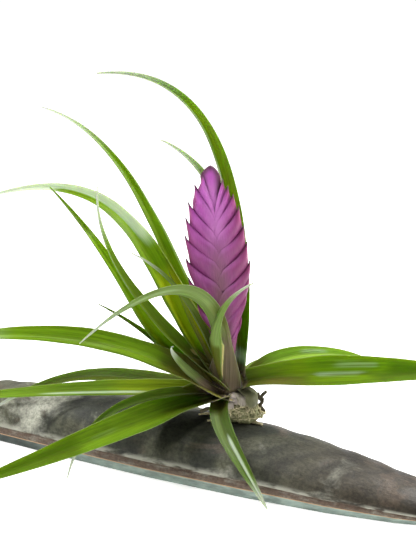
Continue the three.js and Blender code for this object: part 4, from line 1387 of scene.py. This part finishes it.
def leaf_mesh(name, leaf, seed):
    """A leaf's blade, with what its finish reads at each point."""
    stations = midrib(leaf, LEAF_ALONG)
    share, length = stations[-2:]
    width = blade_width(leaf, share)[:, None]
    across = np.sin(np.linspace(-1.0, 1.0, LEAF_ACROSS) * LEAF_CROWDING) / math.sin(LEAF_CROWDING)
    rings = leaf_rings(leaf, across[None, :], width, stations, seed)
    t = share[:, None]
    span = np.concatenate([across, across[::-1]])[None, :]
    face = np.concatenate([np.ones(LEAF_ACROSS), np.zeros(LEAF_ACROSS)])[None, :]
    light, dry, sun = (strip_light(leaf.get(key, ()), t, span) for key in ("strips", "dry", "sun"))
    # Painted shade, with a darker root colour, deep in the rosette.
    light = light - leaf.get("dusk", LEAF["dusk"]) * (1.0 - ease(t, 0.06, 0.3))
    husk = 1.0 - ease(t, leaf["husk"] * 0.35, leaf["husk"] * 1.25)
    made = Sleeves()
    made.add(rings, across=span * width / 2.0, rim=np.abs(span), face=face,
             along=t * length + 700.0 * seed, reach=t, husk=husk,
             lime=leaf["lime"], tone=leaf["tone"], light=light, dry=dry, sun=sun)
    return made.mesh(name)


def leaf_green(made, settings, streak, cloud):
    """Lime to sage green, streaked, deeper at the root and yellow where the sun is through it."""
    rim, face, reach, lime, tone, sun = made.given("rim", "face", "reach", "lime", "tone", "sun")
    green = made.blend(made.span(streak, 0.3, 0.75, 0.1, 0.85), settings.deep, settings.lime)
    green = made.blend(made.span(cloud, 0.35, 0.7, 0.0, 0.55), green, settings.lime)
    green = made.blend(made.span(reach, 0.35, 0.02, 0.0, 0.7), green, settings.deep)
    sage = made.dim(settings.sage, made.span(streak, 0.3, 0.7, 0.75, 1.25))
    green = made.blend(lime, sage, green)
    green = made.blend(made.times(made.less(1.0, face), 0.35), green, sage)
    sunny = made.times(sun, made.span(streak, 0.3, 0.6, 0.6, 1.0))
    green = made.blend(sunny, green, settings.sun)
    return made.dim(green, made.times(tone, made.span(rim, 0.5, 0.97, 1.06, 0.72)))


def leaf_strips(made, settings, green, uneven):
    """The green with its silvery strips of scales and painted sheen, and its dark ones of painted
    shade.
    """
    reach, lime, tone, light = made.given("reach", "lime", "tone", "light")
    # Silvery strips: scales, with painted sheen.
    silver_and_sheen = made.times(made.span(made.plus(light, uneven), 0.05, 0.95),
                        made.span(light, 0.0, 0.3))
    green = made.blend(silver_and_sheen, green, settings.silver_and_sheen)
    # Dark strips and dark roots: painted shade.
    dusk = made.times(light, -1.0)
    shade = made.blend(made.times(lime, made.span(reach, 0.12, 0.4)), settings.dusk, settings.deep)
    shade = made.dim(shade, made.span(tone, 0.4, 1.0, 0.6, 1.0))
    dark = made.times(made.span(made.plus(dusk, uneven), 0.0, 0.9), made.span(dusk, 0.0, 0.3))
    return made.blend(dark, green, shade)


def leaf_ends(made, settings, green, streak, uneven):
    """The green with its brown sheath, dry margins and greying tip, the tip paled further as painted
    backlight.
    """
    rim, reach, husk, light, dry = made.given("rim", "reach", "husk", "light", "dry")
    bark = made.dim(settings.husk, made.span(streak, 0.3, 0.7, 0.6, 1.4))
    sheath = made.plus(husk, made.times(made.less(streak, 0.5), 0.5))
    colour = made.blend(made.span(sheath, 0.25, 0.85), green, bark)
    parched = made.span(made.plus(dry, made.times(uneven, 0.6)), 0.25, 0.7)
    colour = made.blend(parched, colour, settings.dry)
    # Drying tip, paled further as painted backlight, except where a strip darkens it.
    drying_and_backlight = made.times(made.span(reach, 0.73, 0.98, 0.0, 0.88), made.span(light, -0.6, -0.1))
    colour = made.blend(drying_and_backlight, colour, settings.tip)
    return made.blend(made.span(rim, 0.93, 1.0, 0.0, 0.14), colour, settings.tip)


def leaf_finish(settings):
    """Waxy blades: lime to sage green with fine veins, brown sheaths, pale thin tips partly painted
    as backlight, and strips of painted sheen and painted shade.
    """
    made = Finish("leaf_blade", LEAF_WAX)
    across, along, face, husk = made.given("across", "along", "face", "husk")
    length_wise = made.vector(across, made.times(along, 0.02), made.times(face, 5.0))
    fine = made.noise(length_wise, 1.0 / (settings.vein / MM), 2.0, 0.5)
    streak = made.noise(length_wise, 0.45, 3.0, 0.6)
    broadly = made.vector(made.times(across, 0.05), made.times(along, 0.018), face)
    cloud = made.noise(broadly, 1.0, 3.0)
    uneven = made.times(made.less(streak, 0.5), 0.8)
    colour = leaf_green(made, settings, streak, cloud)
    colour = leaf_strips(made, settings, colour, uneven)
    colour = leaf_ends(made, settings, colour, streak, uneven)
    colour = made.dim(colour, made.span(fine, 0.3, 0.7, 0.88, 1.1))
    rough = made.plus(made.span(cloud, 0.3, 0.7, 0.34, 0.48), made.times(husk, 0.3))
    return made.wear(colour, rough, made.relief(fine, settings.relief / MM * 6.0))


class QUILL_OT_leaves(bpy.types.Operator):
    """Build every leaf of the rosette"""

    bl_idname = "quill.leaves"
    bl_label = "Leaves"

    def execute(self, context):
        finish = leaf_finish(context.scene.quill_leaf)
        for seed, (name, leaf) in enumerate(LEAVES.items()):
            piece_name = name.replace("leaf_", "blade_")
            make_piece(piece_name, leaf_mesh(piece_name, leaf, seed), finish, "leaf", name)
        return {"FINISHED"}


# ---- stage ---------------------------------------------------------------------------

CAMERA_AT = Vector((0.45375, -0.80429, 0.40974))
CAMERA_AIM = Vector((0.01523, 0.05636, 0.15092))
SENSOR = 36.0
LAMP_AIM = Vector((0.0, 0.04, 0.12))
# Each softbox: place, width and depth, and its share of the key light's power.
SOFTBOXES = {
    "fill_softbox": ((-0.55, -0.35, 1.15), (0.7, 0.7), 0.75),
    "key_softbox": ((0.5, 0.62, 0.95), (0.55, 0.55), 1.0),
}
SKY_BRIGHTEST = (-0.42, 0.82, 0.4)  # the direction that most of the world's light comes from
SKY_FACING = (-0.4, 0.5)  # how far a direction faces that one, where the light is least and most
SKY_STRENGTH = (0.16, 0.75)  # strength of the world's light there
SKY_TO_EYE = 0.94  # strength of the white that is seen behind the object


def aim(thing, target):
    """Turn a camera or lamp towards a point."""
    thing.rotation_mode = "QUATERNION"
    thing.rotation_quaternion = (target - thing.location).to_track_quat("-Z", "Y")


def add_softbox(name, place, size, power):
    """A rectangular lamp that looks at the plant."""
    lamp = bpy.data.lights.new(name, "AREA")
    lamp.shape = "RECTANGLE"
    lamp.size, lamp.size_y = size
    lamp.energy = power
    box = bpy.data.objects.new(name, lamp)
    bpy.context.scene.collection.objects.link(box)
    box.location = place
    aim(box, LAMP_AIM)


def floor_finish(settings):
    """A pale floor that glows a little, so that it meets the white behind it."""
    made = Finish("pale_floor", {"Emission Color": (1.0, 1.0, 1.0, 1.0),
                                 "Emission Strength": 0.55})
    cloud = made.noise(made.place(), 3.0, 2.0)
    return made.wear(made.dim(settings.floor, made.span(cloud, 0.2, 0.8, 0.99, 1.0)), 0.9)


def add_floor(settings):
    """The round floor, which is stage and no part of the plant."""
    disc = bmesh.new()
    bmesh.ops.create_circle(disc, cap_ends=True, segments=96, radius=settings.radius)
    mesh = bpy.data.meshes.new("studio_floor")
    disc.to_mesh(mesh)
    disc.free()
    mesh.materials.append(floor_finish(settings))
    floor = bpy.data.objects.new("studio_floor", mesh)
    bpy.context.scene.collection.objects.link(floor)


def add_camera(settings):
    """The camera, at the angle that shows the flat side of the head."""
    camera = bpy.data.objects.new("camera", bpy.data.cameras.new("camera"))
    bpy.context.scene.collection.objects.link(camera)
    camera.data.sensor_width = SENSOR
    camera.data.lens = settings.lens
    camera.location = CAMERA_AT
    aim(camera, CAMERA_AIM)
    bpy.context.scene.camera = camera


def light_world(world):
    """White all round to the eye; as light, bright behind the plant and dimmer in front."""
    nodes, links = world.node_tree.nodes, world.node_tree.links
    sky = nodes["Background"]
    sky.inputs["Color"].default_value = (1.0, 1.0, 1.0, 1.0)
    way = nodes.new("ShaderNodeVectorMath")
    way.operation = "DOT_PRODUCT"
    way.inputs[1].default_value = SKY_BRIGHTEST
    links.new(nodes.new("ShaderNodeTexCoord").outputs["Generated"], way.inputs[0])
    glow = nodes.new("ShaderNodeMapRange")
    glow.interpolation_type = "SMOOTHSTEP"
    for socket, value in zip(list(glow.inputs)[1:5], SKY_FACING + SKY_STRENGTH):
        socket.default_value = value
    links.new(way.outputs["Value"], glow.inputs[0])
    eye = nodes.new("ShaderNodeMix")
    eye.inputs[3].default_value = SKY_TO_EYE
    links.new(nodes.new("ShaderNodeLightPath").outputs["Is Camera Ray"], eye.inputs[0])
    links.new(glow.outputs[0], eye.inputs[2])
    links.new(eye.outputs[0], sky.inputs["Strength"])


class QUILL_OT_stage(bpy.types.Operator):
    """Build the floor, the soft light and the camera"""

    bl_idname = "quill.stage"
    bl_label = "Stage"

    def execute(self, context):
        scene = context.scene
        settings = scene.quill_stage
        add_floor(settings)
        world = bpy.data.worlds.new("studio_light")
        world.use_nodes = True
        light_world(world)
        scene.world = world
        for name, (place, size, share) in SOFTBOXES.items():
            add_softbox(name, place, size, settings.key * share)
        add_camera(settings)
        scene.view_settings.view_transform = "Standard"
        return {"FINISHED"}


# ---- add-on --------------------------------------------------------------------------

OPERATORS = (QUILL_OT_spathe, QUILL_OT_stem, QUILL_OT_roots, QUILL_OT_flower_head,
             QUILL_OT_leaves, QUILL_OT_stage)


class QUILL_PT_plant(bpy.types.Panel):
    """Settings and steps of the quill plant"""

    bl_idname = "QUILL_PT_plant"
    bl_label = "Quill Plant"
    bl_space_type = "VIEW_3D"
    bl_region_type = "UI"
    bl_category = "Quill Plant"

    def draw(self, context):
        for name in SETTINGS:
            group = getattr(context.scene, name)
            box = self.layout.box()
            for key in group.bl_rna.properties.keys():
                if key not in ("rna_type", "name"):
                    box.prop(group, key)
        for operator in OPERATORS:
            self.layout.operator(operator.bl_idname)


def register():
    """Add the settings, the operators and the panel."""
    for group in SETTINGS.values():
        bpy.utils.register_class(group)
    for name, group in SETTINGS.items():
        setattr(bpy.types.Scene, name, bpy.props.PointerProperty(type=group))
    for operator in OPERATORS:
        bpy.utils.register_class(operator)
    bpy.utils.register_class(QUILL_PT_plant)


def unregister():
    """Take them away again."""
    bpy.utils.unregister_class(QUILL_PT_plant)
    for operator in reversed(OPERATORS):
        bpy.utils.unregister_class(operator)
    for name in SETTINGS:
        delattr(bpy.types.Scene, name)
    for group in reversed(SETTINGS.values()):
        bpy.utils.unregister_class(group)


def main():
    """Build the plant and its stage."""
    register()
    bpy.ops.quill.spathe()
    bpy.ops.quill.stem()
    bpy.ops.quill.roots()
    bpy.ops.quill.flower_head()
    bpy.ops.quill.leaves()
    bpy.ops.quill.stage()


if __name__ == "__main__":
    main()
